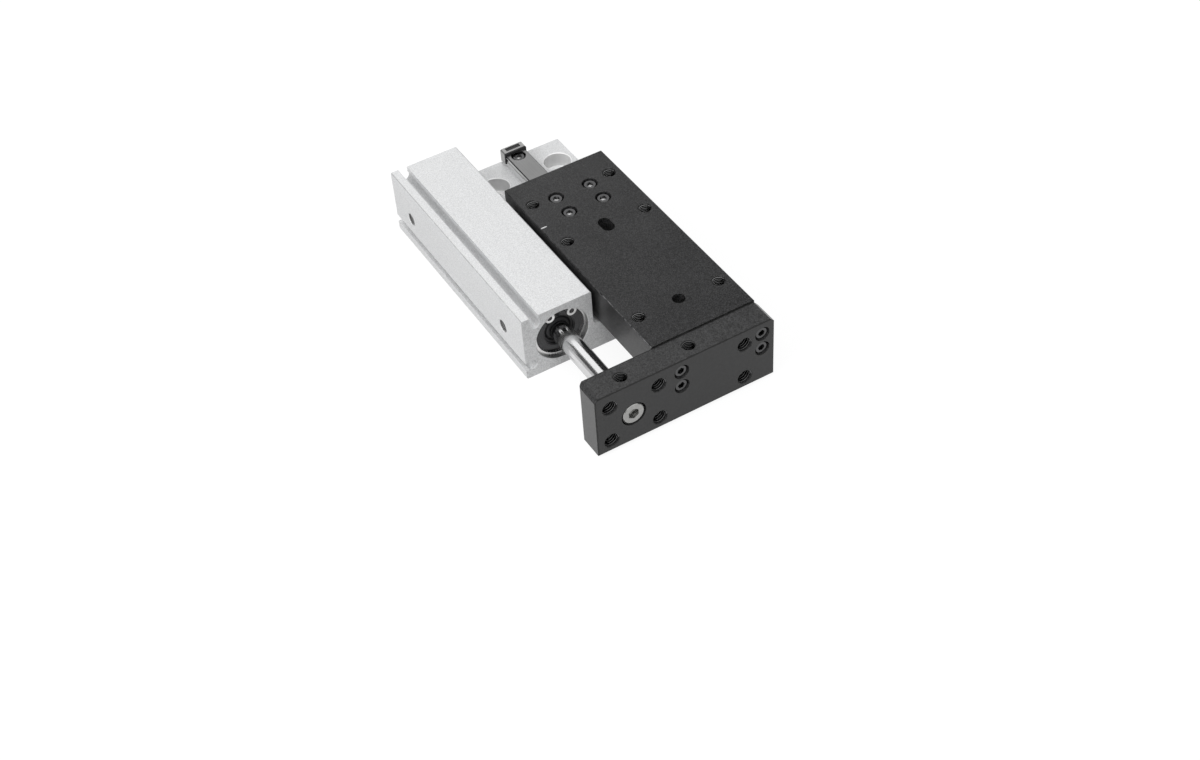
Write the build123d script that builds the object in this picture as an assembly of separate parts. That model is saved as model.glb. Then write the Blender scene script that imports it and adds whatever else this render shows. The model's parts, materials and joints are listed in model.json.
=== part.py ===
from build123d import *
import math
import os

# Pneumatic slide cylinder: a double-acting air cylinder and a ball guide side by side on one
# aluminium body, with a slide table on the guide and a front plate that ties table and rod together.
#
# X runs across the body, away from the cylinder. Y runs along the stroke, and the rod comes out
# towards -Y. Z is up. X = 0 is the centre line of the guide rail, Y = 0 is half the body's length
# and Z = 0 is the underside, so the origin is the middle of the four base screw holes.
# All sizes are in millimetres. The pose is the one with the table part of the way out.

# Stroke and air cylinder
STROKE = 50.0
REST_EXTENSION = 37.8
BORE_DIAMETER = 20.0
PISTON_LENGTH = 24.0
BUMPER_THICKNESS = 2.0
PISTON_END_GAP = 0.1
FRONT_PORT_PLACE = 15.9
REAR_PORT_PLACE = 14.1
PORT_TO_SHOULDER = 2.1
PORT_DIAMETER = 5.0
PORT_DEPTH = 4.5
PORT_COUNTERSINK = 0.3
ORIFICE_DIAMETER = 2.0

# End pockets of the bore and their retaining rings
POCKET_DIAMETER = 22.0
MOUTH_CHAMFER = 0.25
RING_INSET = 1.5
RING_THICKNESS = 1.0
RING_SIDE_PLAY = 0.1
RING_GROOVE_DEPTH = 0.5
RING_WIDE = 1.95
RING_NARROW = 0.85
RING_LUG_RADIUS = 2.0
RING_LUG_HOLE = 2.1
RING_LUG_INSET = 2.4
RING_LUG_SPREAD = 61.0
RING_TURN = -5.5

# Body section
BLOCK_WIDTH = 29.2
BLOCK_HEIGHT = 28.3
BASE_THICKNESS = 12.2
RAIL_TO_OUTER_SIDE = 52.6
BORE_FROM_SIDE = 16.2
BORE_HEIGHT = 14.3
INNER_FILLET = 1.5
BLOCK_EDGE = 0.5

# Sensor grooves: a round groove behind a narrower mouth
TOP_GROOVE_PLACE = 5.2
TOP_GROOVE_MOUTH = 3.8
TOP_GROOVE_DIAMETER = 4.6
TOP_GROOVE_SINK = 3.5
SIDE_GROOVE_PLACE = 5.7
SIDE_GROOVE_MOUTH = 3.2
SIDE_GROOVE_DIAMETER = 4.3
SIDE_GROOVE_SINK = 2.75

# Base screw holes
BASE_HOLE_ACROSS = 28.5
BASE_HOLE_INSET = 13.0
BASE_HOLE_DIAMETER = 6.6
BASE_COUNTERBORE = 11.0
BASE_COUNTERBORE_DEPTH = 6.5

# Guide rail and carriage
RAIL_WIDTH = 9.0
RAIL_HEIGHT = 5.5
RAIL_PITCH = 20.0
RAIL_END = 7.0
RAIL_EDGE = 0.3
BALL_DIAMETER = 1.588
BALL_HEIGHT = 3.9
BALL_OUT = 0.35
BALL_PLAY = 0.04
BALL_PITCH = 1.8
CARRIAGE_WIDTH = 20.0
CARRIAGE_TOP = 10.0
CARRIAGE_LIFT = 2.0
CARRIAGE_STEEL_LENGTH = 18.0
CARRIAGE_SIDE_PLAY = 0.2
CARRIAGE_ROOF_PLAY = 0.4
CARRIAGE_HOLES_ACROSS = 15.0
CARRIAGE_HOLES_ALONG = 10.0
CARRIAGE_HOLE_DEPTH = 2.8
CARRIAGE_EDGE = 0.5
RETURN_OUT = 7.4
RETURN_HEIGHT = 3.7
RETURN_DIAMETER = 1.9
END_CAP_LENGTH = 4.0
END_CAP_STEP = 0.2
END_CAP_RAIL_PLAY = 0.3
END_CAP_ROOF_PLAY = 0.3
END_SEAL_THICKNESS = 0.5
END_SEAL_STEP = 0.4
END_SEAL_RAIL_PLAY = 0.08
END_SEAL_ROOF_PLAY = 0.15
END_SCREW_OUT = 6.8
END_SCREW_HEIGHT = 5.8
END_SCREW_DIAMETER = 1.6
END_SCREW_GRIP = 2.0
END_SCREW_HEAD = 2.8
END_SCREW_HEAD_HEIGHT = 0.8

# Stop at the rear end of the rail
STOP_DEPTH = 3.4
STOP_TOP = 1.2
STOP_LEG = 0.4
STOP_LIFT = 1.5
STOP_GAP = 0.7
STOP_WINDOW_WIDTH = 6.4
STOP_WINDOW_DEPTH = 2.0
STOP_REAR_BORDER = 0.5
PAD_THICKNESS = 0.5
PAD_INSET = 0.3
PAD_TAIL = 0.6

# Slide table
TABLE_WIDTH = 43.6
TABLE_ROOF = 7.4
TABLE_SIDE_HEIGHT = 15.5
TABLE_LONGER = 1.4
CHANNEL_PLAY = 0.5
TABLE_EDGE = 0.3
CARRIAGE_FROM_REAR = 19.9
TABLE_HOLE_DIAMETER = 5.0
TABLE_HOLE_DEPTH = 10.0
TABLE_HOLES_ACROSS = 34.0
TABLE_HOLE_FROM_REAR = 13.5
TABLE_HOLE_PITCH = 26.0
TABLE_LONG_PITCH = 50.0
DOWEL_DIAMETER = 5.0
DOWEL_DEPTH = 6.0
DOWEL_SLOT_LENGTH = 8.0
HOLE_COUNTERSINK = 0.25

# Front plate
PLATE_GAP = 0.4
PLATE_THICKNESS = 11.1
PLATE_BOTTOM = 1.7
PLATE_TOP = 28.9
PLATE_SIDE_INSET = 1.0
PLATE_BEYOND_TABLE = 1.0
PLATE_CORNER = 1.5
PLATE_REAR_EDGE = 1.5
PLATE_EDGE = 0.25
FACE_HOLE_DIAMETER = 6.0
FACE_HOLE_DEPTH = 9.0
FACE_HOLE_FIRST = 5.9
FACE_HOLE_PITCH = 20.0
FACE_HOLE_FAR_PITCH = 36.0
FACE_HOLE_LOW = 6.3
FACE_HOLE_RISE = 16.0
TOP_HOLE_DIAMETER = 5.0
TOP_HOLE_DEPTH = 8.0
TOP_HOLE_FIRST = 13.7
TOP_HOLE_PITCH = 28.0
PLATE_SCREWS_ACROSS = 34.0
PLATE_SCREWS_SHIFT = 0.7
PLATE_SCREW_LOW = 16.6
PLATE_SCREW_RISE = 7.0

# Rod, gland, rear cap and piston
ROD_DIAMETER = 8.0
ROD_STUB_DIAMETER = 6.0
RUNNING_PLAY = 0.03
SEAT_PLAY = 0.03
GLAND_RECESS_DIAMETER = 13.4
GLAND_RECESS_DEPTH = 0.4
SEAL_POCKET_DIAMETER = 12.6
SEAL_POCKET_DEPTH = 4.0
SEAL_LENGTH = 3.8
SEAL_LIP_DEPTH = 1.2
BUSH_WALL = 1.0
O_RING_DEPTH = 1.6
O_RING_WIDTH = 1.8
O_RING_GROOVE_WIDTH = 2.2
O_RING_CORNER = 0.45
O_RING_PLACE = 3.0
BUMPER_INNER = 11.0
BUMPER_OUTER = 15.0
CAP_DIMPLE_DIAMETER = 5.0
CAP_DIMPLE_DEPTH = 1.5
PISTON_PLAY = 0.2
PISTON_SEAL_WIDTH = 3.0
PISTON_SEAL_INSET = 2.0
PISTON_SEAL_HEIGHT = 3.0
PISTON_LIP_DEPTH = 1.0
WEAR_RING_WIDTH = 2.5
WEAR_RING_THICKNESS = 0.9
WEAR_RING_INSET = 0.7
WEAR_RING_SPLIT = 0.8
MAGNET_LENGTH = 4.0
MAGNET_PLAY = 0.7
MAGNET_PLACE = 9.5
PISTON_HUB_DIAMETER = 10.0
NUT_ACROSS_FLATS = 10.0
NUT_THICKNESS = 3.2
NUT_POCKET_DIAMETER = 12.2
NUT_POCKET_DEPTH = 3.6

# Socket head cap screws
M3_DIAMETER = 3.0
M3_HEAD = 5.5
M3_HEAD_HEIGHT = 3.0
M3_HEAD_EDGE = 0.5
M3_SOCKET = 2.5
M3_SOCKET_DEPTH = 1.5
M3_CLEARANCE_HOLE = 3.4
M3_COUNTERBORE = 6.1
M5_DIAMETER = 5.0
M5_HEAD = 8.5
M5_HEAD_HEIGHT = 5.0
M5_HEAD_EDGE = 0.2
M5_SOCKET = 4.0
M5_SOCKET_DEPTH = 2.5
M5_CLEARANCE_HOLE = 5.5
M5_COUNTERBORE = 10.0
SCREW_PLAY = 0.05
SOCKET_CONE_HEIGHT = 0.5
SCREW_TURN_STEP = 23.0
HOLE_SPARE = 0.8
RAIL_SCREW_SINK = 0.5
RAIL_SCREW_GRIP = 6.0
TABLE_SCREW_SINK = 0.6
TABLE_SCREW_GRIP = 2.4
PLATE_SCREW_SINK = 0.7
PLATE_SCREW_GRIP = 8.0
ROD_SCREW_SINK = 0.2
ROD_SCREW_GRIP = 11.0
ROD_SCREW_TURN = 30.0

# Lengths along the stroke
front_pocket = FRONT_PORT_PLACE - PORT_TO_SHOULDER
rear_pocket = REAR_PORT_PLACE - PORT_TO_SHOULDER
chamber = PISTON_LENGTH + STROKE + 2 * (BUMPER_THICKNESS + PISTON_END_GAP)
body_length = front_pocket + chamber + rear_pocket
front = -body_length / 2
rear = body_length / 2
ring_groove_width = RING_THICKNESS + RING_SIDE_PLAY
cover_inset = RING_INSET + ring_groove_width

# Places across and up
outer_side = -RAIL_TO_OUTER_SIDE
block_side = outer_side + BLOCK_WIDTH
table_half = TABLE_WIDTH / 2
bore_x = outer_side + BORE_FROM_SIDE
bore_z = BORE_HEIGHT
rail_top = BASE_THICKNESS + RAIL_HEIGHT
carriage_top = BASE_THICKNESS + CARRIAGE_TOP
carriage_bottom = BASE_THICKNESS + CARRIAGE_LIFT
table_top = carriage_top + TABLE_ROOF
table_bottom = table_top - TABLE_SIDE_HEIGHT

# Places of the moving parts in this pose
plate_back = front - PLATE_GAP - REST_EXTENSION
plate_front = plate_back - PLATE_THICKNESS
plate_left = outer_side + PLATE_SIDE_INSET
plate_right = table_half + PLATE_BEYOND_TABLE
table_length = body_length + TABLE_LONGER
table_rear = plate_back + table_length
carriage_y = table_rear - CARRIAGE_FROM_REAR
carriage_length = CARRIAGE_STEEL_LENGTH + 2 * (END_CAP_LENGTH + END_SEAL_THICKNESS)
piston_front = front + front_pocket + BUMPER_THICKNESS + PISTON_END_GAP + STROKE - REST_EXTENSION
piston_rear = piston_front + PISTON_LENGTH
pad_front = carriage_y + carriage_length / 2 + REST_EXTENSION + STOP_GAP


def block(x0, x1, y0, y1, z0, z1):
    """A box between two corners."""
    middle = ((x0 + x1) / 2, (y0 + y1) / 2, (z0 + z1) / 2)
    return Pos(*middle) * Box(x1 - x0, y1 - y0, z1 - z0)


def along_y(section, y0, y1):
    """A section drawn in X and Z, carried along Y."""
    return extrude(Plane.XZ.offset(-y1) * section, amount=y1 - y0)


def turned(points):
    """A solid of revolution about the bore axis, from points of radius and Y."""
    section = make_face(Polyline(*points, close=True))
    return Pos(bore_x, 0, bore_z) * revolve(section, Axis.Y)


def tube(outer, inner, y0, y1):
    """A plain ring about the bore axis, by its radii."""
    return turned([(inner, y0), (outer, y0), (outer, y1), (inner, y1)])


def drill_down(x, y, z, diameter, depth):
    """A round hole downwards from the height z."""
    return Pos(x, y, z - depth / 2) * Cylinder(diameter / 2, depth)


def drill_back(x, y, z, diameter, depth):
    """A round hole towards +Y from the place y."""
    return Pos(x, y + depth / 2, z) * Rot(90, 0, 0) * Cylinder(diameter / 2, depth)


def countersink_down(x, y, z, diameter, size):
    """A small cone that opens a hole's mouth on an upper face."""
    cone = Cone(diameter / 2, diameter / 2 + size, size)
    return Pos(x, y, z - size / 2) * cone


def countersink_back(x, y, z, diameter, size):
    """A small cone that opens a hole's mouth on a front face."""
    cone = Cone(diameter / 2, diameter / 2 + size, size)
    return Pos(x, y + size / 2, z) * Rot(90, 0, 0) * cone


def hexagon(across_flats):
    """A hexagon by its distance across flats."""
    return RegularPolygon(across_flats / math.sqrt(3), 6)


def cap_screw(diameter, head, head_height, edge, socket, socket_depth, length):
    """A socket head cap screw that points down, with the underside of its head at Z = 0."""
    top = Pos(0, 0, head_height / 2) * Cylinder(head / 2, head_height)
    top = chamfer(top.edges().filter_by(GeomType.CIRCLE).sort_by(Axis.Z)[-1], edge)
    shank = Pos(0, 0, -length / 2) * Cylinder(diameter / 2 - SCREW_PLAY, length)
    floor = head_height - socket_depth
    drive = Pos(0, 0, floor) * extrude(hexagon(socket), amount=socket_depth)
    drive += Pos(0, 0, floor - SOCKET_CONE_HEIGHT / 2) * Cone(0, socket / 2, SOCKET_CONE_HEIGHT)
    return top + shank - drive


def m3_screw(length):
    """An M3 cap screw."""
    return cap_screw(M3_DIAMETER, M3_HEAD, M3_HEAD_HEIGHT, M3_HEAD_EDGE, M3_SOCKET, M3_SOCKET_DEPTH, length)


def m5_screw(length):
    """An M5 cap screw."""
    return cap_screw(M5_DIAMETER, M5_HEAD, M5_HEAD_HEIGHT, M5_HEAD_EDGE, M5_SOCKET, M5_SOCKET_DEPTH, length)


def each_turned(places, screw):
    """A screw at each place, each one tightened to an angle of its own."""
    return [place * Rot(0, 0, i * SCREW_TURN_STEP) * screw for i, place in enumerate(places)]


def facing_front(x, y, z):
    """The place of a screw whose head looks towards -Y."""
    return Pos(x, y, z) * Rot(90, 0, 0)


def groove_cutter(mouth, diameter, sink):
    """Section of a sensor groove that opens upwards at Z = 0: a round groove below a slot."""
    reach = 1.0
    slot = Pos(0, (reach - sink) / 2) * Rectangle(mouth, sink + reach)
    return slot + Pos(0, -sink) * Circle(diameter / 2)


def rail_hole_places():
    """Y of each rail screw, counted from the rear end of the body."""
    count = int((body_length - 2 * RAIL_END) / RAIL_PITCH) + 1
    return [rear - RAIL_END - i * RAIL_PITCH for i in range(count)]


def base_hole_places():
    """X and Y of the four base screw holes."""
    half_y = body_length / 2 - BASE_HOLE_INSET
    return [(sx * BASE_HOLE_ACROSS / 2, sy * half_y) for sx in (-1, 1) for sy in (-1, 1)]


def make_body():
    """The extruded body: a cylinder block with a flat base beside it for the guide."""
    outline = Polyline(
        (outer_side, 0),
        (table_half, 0),
        (table_half, BASE_THICKNESS),
        (block_side, BASE_THICKNESS),
        (block_side, BLOCK_HEIGHT),
        (outer_side, BLOCK_HEIGHT),
        close=True,
    )
    section = make_face(outline)
    corners = section.vertices()
    inner = corners.sort_by_distance((block_side, BASE_THICKNESS))[0]
    section = fillet(inner, INNER_FILLET)
    outer = [
        section.vertices().sort_by_distance(p)[0]
        for p in ((outer_side, BLOCK_HEIGHT), (block_side, BLOCK_HEIGHT), (outer_side, 0))
    ]
    section = chamfer(outer, BLOCK_EDGE)
    top_groove = groove_cutter(TOP_GROOVE_MOUTH, TOP_GROOVE_DIAMETER, TOP_GROOVE_SINK)
    section -= Pos(outer_side + TOP_GROOVE_PLACE, BLOCK_HEIGHT) * top_groove
    side_groove = groove_cutter(SIDE_GROOVE_MOUTH, SIDE_GROOVE_DIAMETER, SIDE_GROOVE_SINK)
    section -= Pos(outer_side, SIDE_GROOVE_PLACE) * Rot(0, 0, 90) * side_groove
    body = along_y(section, front, rear)
    body -= bore_cutter()
    for y in (front + FRONT_PORT_PLACE, rear - REAR_PORT_PLACE):
        body -= port_cutter(y)
    for x, y in base_hole_places():
        body -= drill_down(x, y, BASE_THICKNESS, BASE_HOLE_DIAMETER, BASE_THICKNESS)
        body -= drill_down(x, y, BASE_THICKNESS, BASE_COUNTERBORE, BASE_COUNTERBORE_DEPTH)
        body -= countersink_down(x, y, BASE_THICKNESS, BASE_COUNTERBORE, HOLE_COUNTERSINK)
    for y in rail_hole_places():
        body -= drill_down(0, y, BASE_THICKNESS, M3_DIAMETER, RAIL_SCREW_GRIP + HOLE_SPARE)
    return body


def bore_cutter():
    """The bore with its two end pockets, ring grooves and chamfered mouths, as one turned cut."""
    bore = BORE_DIAMETER / 2
    pocket = POCKET_DIAMETER / 2
    groove = pocket + RING_GROOVE_DEPTH
    mouth = pocket + MOUTH_CHAMFER
    ring_in = RING_INSET
    ring_out = RING_INSET + ring_groove_width
    points = [(0, front), (mouth, front), (pocket, front + MOUTH_CHAMFER)]
    points += [(pocket, front + ring_in), (groove, front + ring_in)]
    points += [(groove, front + ring_out), (pocket, front + ring_out)]
    points += [(pocket, front + front_pocket), (bore, front + front_pocket)]
    points += [(bore, rear - rear_pocket), (pocket, rear - rear_pocket)]
    points += [(pocket, rear - ring_out), (groove, rear - ring_out)]
    points += [(groove, rear - ring_in), (pocket, rear - ring_in)]
    points += [(pocket, rear - MOUTH_CHAMFER), (mouth, rear), (0, rear)]
    return turned(points)


def port_cutter(y):
    """An air port in the outer side: a threaded mouth and a small orifice into the bore."""
    threaded = Cylinder(PORT_DIAMETER / 2, PORT_DEPTH)
    orifice = Cylinder(ORIFICE_DIAMETER / 2, BORE_FROM_SIDE)
    sink = Cone(PORT_DIAMETER / 2, PORT_DIAMETER / 2 + PORT_COUNTERSINK, PORT_COUNTERSINK)
    cut = Pos(0, 0, -PORT_DEPTH / 2) * threaded
    cut += Pos(0, 0, -BORE_FROM_SIDE / 2) * orifice
    cut += Pos(0, 0, -PORT_COUNTERSINK / 2) * sink
    return Pos(outer_side, y, bore_z) * Rot(0, -90, 0) * cut


def make_retaining_ring(groove_start):
    """An internal retaining ring with two plier lugs, in the groove that starts at this Y."""
    outer = POCKET_DIAMETER / 2 + RING_GROOVE_DEPTH - SEAT_PLAY
    inner = outer - (RING_WIDE + RING_NARROW) / 2
    shift = (RING_WIDE - RING_NARROW) / 2
    ring = Circle(outer) - Pos(0, shift) * Circle(inner)
    gap = math.radians(RING_LUG_SPREAD / 2)
    lug_circle = outer - RING_LUG_INSET
    wedge = Polyline((0, 0), (-2 * outer * math.sin(gap), 2 * outer * math.cos(gap)),
                     (2 * outer * math.sin(gap), 2 * outer * math.cos(gap)), close=True)
    ring -= make_face(wedge)
    for side in (-1, 1):
        place = Pos(side * lug_circle * math.sin(gap), lug_circle * math.cos(gap))
        lug = place * Circle(RING_LUG_RADIUS) & Circle(outer)
        ring = ring + lug - place * Circle(RING_LUG_HOLE / 2)
    ring = Pos(bore_x, bore_z) * Rot(0, 0, RING_TURN) * ring
    return along_y(ring, groove_start, groove_start + RING_THICKNESS)


def o_ring(y):
    """An O-ring in its fitted shape, squeezed flat in a cover's groove, with its middle at this Y."""
    outer = POCKET_DIAMETER / 2 - SEAT_PLAY
    inner = POCKET_DIAMETER / 2 - O_RING_DEPTH + SEAT_PLAY
    half = O_RING_WIDTH / 2
    corner = O_RING_CORNER
    points = [(inner, y - half + corner), (inner + corner, y - half)]
    points += [(outer - corner, y - half), (outer, y - half + corner)]
    points += [(outer, y + half - corner), (outer - corner, y + half)]
    points += [(inner + corner, y + half), (inner, y + half - corner)]
    return turned(points)


def cover_outline(y0, y1, groove_y):
    """Outer points of a gland or cap that sits in a pocket, with its O-ring groove."""
    outer = POCKET_DIAMETER / 2 - SEAT_PLAY
    floor = POCKET_DIAMETER / 2 - O_RING_DEPTH
    half = O_RING_GROOVE_WIDTH / 2
    edge = HOLE_COUNTERSINK
    points = [(outer - edge, y0), (outer, y0 + edge), (outer, groove_y - half)]
    points += [(floor, groove_y - half), (floor, groove_y + half), (outer, groove_y + half)]
    points += [(outer, y1 - edge), (outer - edge, y1)]
    return points


def make_rod_gland():
    """The front cover of the bore: it carries the rod seal and the bush."""
    y0 = front + cover_inset
    y1 = front + front_pocket
    bush = ROD_DIAMETER / 2 + RUNNING_PLAY + BUSH_WALL + SEAT_PLAY
    pocket_floor = y0 + GLAND_RECESS_DEPTH + SEAL_POCKET_DEPTH
    points = cover_outline(y0, y1, y1 - O_RING_PLACE)
    points += [(bush, y1), (bush, pocket_floor)]
    points += [(SEAL_POCKET_DIAMETER / 2, pocket_floor)]
    points += [(SEAL_POCKET_DIAMETER / 2, y0 + GLAND_RECESS_DEPTH)]
    points += [(GLAND_RECESS_DIAMETER / 2, y0 + GLAND_RECESS_DEPTH)]
    points += [(GLAND_RECESS_DIAMETER / 2, y0)]
    return turned(points)


def make_rod_seal():
    """The lip seal in the gland's front pocket, open towards the outside as a wiper."""
    floor = front + cover_inset + GLAND_RECESS_DEPTH + SEAL_POCKET_DEPTH
    inner = ROD_DIAMETER / 2 + RUNNING_PLAY
    outer = SEAL_POCKET_DIAMETER / 2 - SEAT_PLAY
    mouth = floor - SEAL_LENGTH
    wall = (outer - inner) / 3
    points = [(inner, mouth), (inner + wall, mouth + wall / 2)]
    points += [((inner + outer) / 2, mouth + SEAL_LIP_DEPTH), (outer - wall, mouth + wall / 2)]
    points += [(outer, mouth + wall / 2), (outer, floor), (inner, floor)]
    return turned(points)


def make_gland_bush():
    """The plain bush that guides the rod."""
    inner = ROD_DIAMETER / 2 + RUNNING_PLAY
    start = front + cover_inset + GLAND_RECESS_DEPTH + SEAL_POCKET_DEPTH
    return tube(inner + BUSH_WALL, inner, start, front + front_pocket)


def make_rear_cap():
    """The rear cover of the bore, with a small dimple for pulling it out."""
    y0 = rear - rear_pocket
    y1 = rear - cover_inset
    points = cover_outline(y0, y1, y0 + O_RING_PLACE)
    points += [(CAP_DIMPLE_DIAMETER / 2, y1), (CAP_DIMPLE_DIAMETER / 2, y1 - CAP_DIMPLE_DEPTH)]
    points += [(0, y1 - CAP_DIMPLE_DEPTH), (0, y0)]
    return turned(points)


def make_rod():
    """The piston rod: a ground bar with a stub for the piston and a tapped front end."""
    stub_end = piston_rear - NUT_POCKET_DEPTH + NUT_THICKNESS
    edge = HOLE_COUNTERSINK
    tapped = M5_DIAMETER / 2
    tapped_end = plate_back + ROD_SCREW_GRIP + HOLE_SPARE
    radius = ROD_DIAMETER / 2
    stub = ROD_STUB_DIAMETER / 2
    points = [(tapped, plate_back), (radius - edge, plate_back), (radius, plate_back + edge)]
    points += [(radius, piston_front), (stub, piston_front), (stub, stub_end), (0, stub_end)]
    points += [(0, tapped_end), (tapped, tapped_end)]
    return turned(points)


def make_piston_front():
    """The front half of the piston, with a seal groove and the wear ring's groove."""
    outer = BORE_DIAMETER / 2 - PISTON_PLAY
    hole = ROD_STUB_DIAMETER / 2 + SEAT_PLAY
    seal_floor = BORE_DIAMETER / 2 - PISTON_SEAL_HEIGHT
    wear_floor = BORE_DIAMETER / 2 - WEAR_RING_THICKNESS - SEAT_PLAY
    y1 = piston_front + MAGNET_PLACE
    wear = y1 - WEAR_RING_INSET - WEAR_RING_WIDTH
    seal = piston_front + PISTON_SEAL_INSET
    points = [(hole, piston_front), (outer, piston_front), (outer, seal), (seal_floor, seal)]
    points += [(seal_floor, seal + PISTON_SEAL_WIDTH), (outer, seal + PISTON_SEAL_WIDTH)]
    points += [(outer, wear), (wear_floor, wear), (wear_floor, wear + WEAR_RING_WIDTH)]
    points += [(outer, wear + WEAR_RING_WIDTH), (outer, y1), (hole, y1)]
    return turned(points)


def make_piston_rear():
    """The rear half of the piston: the hub for the magnet, a seal groove and the nut's pocket."""
    outer = BORE_DIAMETER / 2 - PISTON_PLAY
    hole = ROD_STUB_DIAMETER / 2 + SEAT_PLAY
    seal_floor = BORE_DIAMETER / 2 - PISTON_SEAL_HEIGHT
    hub = PISTON_HUB_DIAMETER / 2
    y0 = piston_front + MAGNET_PLACE
    y1 = y0 + MAGNET_LENGTH
    seal = piston_rear - PISTON_SEAL_INSET - PISTON_SEAL_WIDTH
    pocket = NUT_POCKET_DIAMETER / 2
    points = [(hole, y0), (hub, y0), (hub, y1), (outer, y1), (outer, seal), (seal_floor, seal)]
    points += [(seal_floor, seal + PISTON_SEAL_WIDTH), (outer, seal + PISTON_SEAL_WIDTH)]
    points += [(outer, piston_rear), (pocket, piston_rear), (pocket, piston_rear - NUT_POCKET_DEPTH)]
    points += [(hole, piston_rear - NUT_POCKET_DEPTH)]
    return turned(points)


def make_piston_seal(groove, lip_side):
    """A piston lip seal in the groove that starts at this Y. Its lips face -1 front or 1 rear."""
    inner = BORE_DIAMETER / 2 - PISTON_SEAL_HEIGHT + SEAT_PLAY
    outer = BORE_DIAMETER / 2 - RUNNING_PLAY
    third = (outer - inner) / 3
    middle = groove + PISTON_SEAL_WIDTH / 2
    lip = middle + lip_side * PISTON_SEAL_WIDTH / 2
    heel = middle - lip_side * PISTON_SEAL_WIDTH / 2
    notch = lip - lip_side * PISTON_LIP_DEPTH
    points = [(inner, heel), (outer - third / 2, heel), (outer, lip), (outer - third / 2, lip)]
    points += [((inner + outer) / 2, notch), (inner + third / 2, lip), (inner, lip)]
    return turned(points)


def make_piston_seals():
    """The two piston seals, back to back."""
    front_groove = piston_front + PISTON_SEAL_INSET
    rear_groove = piston_rear - PISTON_SEAL_INSET - PISTON_SEAL_WIDTH
    return [make_piston_seal(front_groove, -1), make_piston_seal(rear_groove, 1)]


def make_wear_ring():
    """The split wear ring that guides the piston."""
    outer = BORE_DIAMETER / 2 - RUNNING_PLAY
    inner = BORE_DIAMETER / 2 - WEAR_RING_THICKNESS
    start = piston_front + MAGNET_PLACE - WEAR_RING_INSET - WEAR_RING_WIDTH
    ring = tube(outer, inner, start, start + WEAR_RING_WIDTH)
    half = WEAR_RING_SPLIT / 2
    return ring - block(bore_x - half, bore_x + half, start, start + WEAR_RING_WIDTH,
                        bore_z, bore_z + BORE_DIAMETER)


def make_piston_magnet():
    """The ring magnet that the sensors in the grooves detect."""
    start = piston_front + MAGNET_PLACE
    outer = BORE_DIAMETER / 2 - MAGNET_PLAY
    return tube(outer, PISTON_HUB_DIAMETER / 2 + SEAT_PLAY, start, start + MAGNET_LENGTH)


def make_piston_nut():
    """The nut that holds the piston on the rod's stub."""
    section = hexagon(NUT_ACROSS_FLATS) - Circle(ROD_STUB_DIAMETER / 2 + SEAT_PLAY)
    start = piston_rear - NUT_POCKET_DEPTH
    return along_y(Pos(bore_x, bore_z) * section, start, start + NUT_THICKNESS)


def rail_section():
    """The rail's section in X and Z, with a ball track in each side."""
    half = RAIL_WIDTH / 2
    section = Pos(0, BASE_THICKNESS + RAIL_HEIGHT / 2) * Rectangle(RAIL_WIDTH, RAIL_HEIGHT)
    section = chamfer(section.vertices(), RAIL_EDGE)
    track = BALL_DIAMETER / 2 + BALL_PLAY
    for side in (-1, 1):
        place = Pos(side * (half + BALL_OUT), BASE_THICKNESS + BALL_HEIGHT)
        section -= place * Circle(track)
    return section


def make_rail():
    """The guide rail, with a counterbored hole for each screw."""
    places = rail_hole_places()
    rail = along_y(rail_section(), places[-1] - RAIL_END, rear)
    for y in places:
        rail -= drill_down(0, y, rail_top, M3_CLEARANCE_HOLE, RAIL_HEIGHT)
        rail -= drill_down(0, y, rail_top, M3_COUNTERBORE, M3_HEAD_HEIGHT + RAIL_SCREW_SINK)
    return rail


def make_rail_screws():
    """The screws that hold the rail on the base."""
    head_seat = rail_top - M3_HEAD_HEIGHT - RAIL_SCREW_SINK
    screw = m3_screw(head_seat - BASE_THICKNESS + RAIL_SCREW_GRIP)
    return each_turned([Pos(0, y, head_seat) for y in rail_hole_places()], screw)


def make_rail_stop():
    """The clip over the rail's rear end, which snaps into the ball tracks."""
    y0 = pad_front + PAD_THICKNESS
    y1 = y0 + STOP_DEPTH
    half = RAIL_WIDTH / 2
    top = rail_top + STOP_TOP
    bottom = BASE_THICKNESS + STOP_LIFT
    section = Pos(0, (bottom + top) / 2) * Rectangle(RAIL_WIDTH + 2 * STOP_LEG, top - bottom)
    section = chamfer(section.vertices().group_by(Axis.Y)[-1], STOP_LEG)
    section -= Pos(0, (bottom + rail_top) / 2) * Rectangle(RAIL_WIDTH, rail_top - bottom)
    for side in (-1, 1):
        bead = Pos(side * half, BASE_THICKNESS + BALL_HEIGHT) * Circle(STOP_LEG)
        section += bead
    clip = along_y(section, y0, y1)
    window = STOP_WINDOW_WIDTH / 2
    window_end = y1 - STOP_REAR_BORDER
    clip -= block(-window, window, window_end - STOP_WINDOW_DEPTH, window_end, rail_top, top)
    return clip - block(-window, window, y0, window_end, rail_top, rail_top + PAD_TAIL)


def make_stop_pad():
    """The rubber pad on the clip's front, with a tail that hooks up into the clip's window."""
    y0 = pad_front
    y1 = pad_front + PAD_THICKNESS
    half = RAIL_WIDTH / 2
    bottom = BASE_THICKNESS + STOP_LIFT + PAD_INSET
    top = rail_top + STOP_TOP - PAD_INSET
    window = STOP_WINDOW_WIDTH / 2
    window_end = y1 + STOP_DEPTH - STOP_REAR_BORDER
    pad = block(-half - STOP_LEG, half + STOP_LEG, y0, y1, bottom, top)
    pad -= block(-half, half, y0, y1, bottom, rail_top)
    pad += block(-window, window, y1, window_end, rail_top, rail_top + PAD_TAIL)
    return pad + block(-window, window, window_end - STOP_WINDOW_DEPTH, window_end, rail_top, top)


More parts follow.
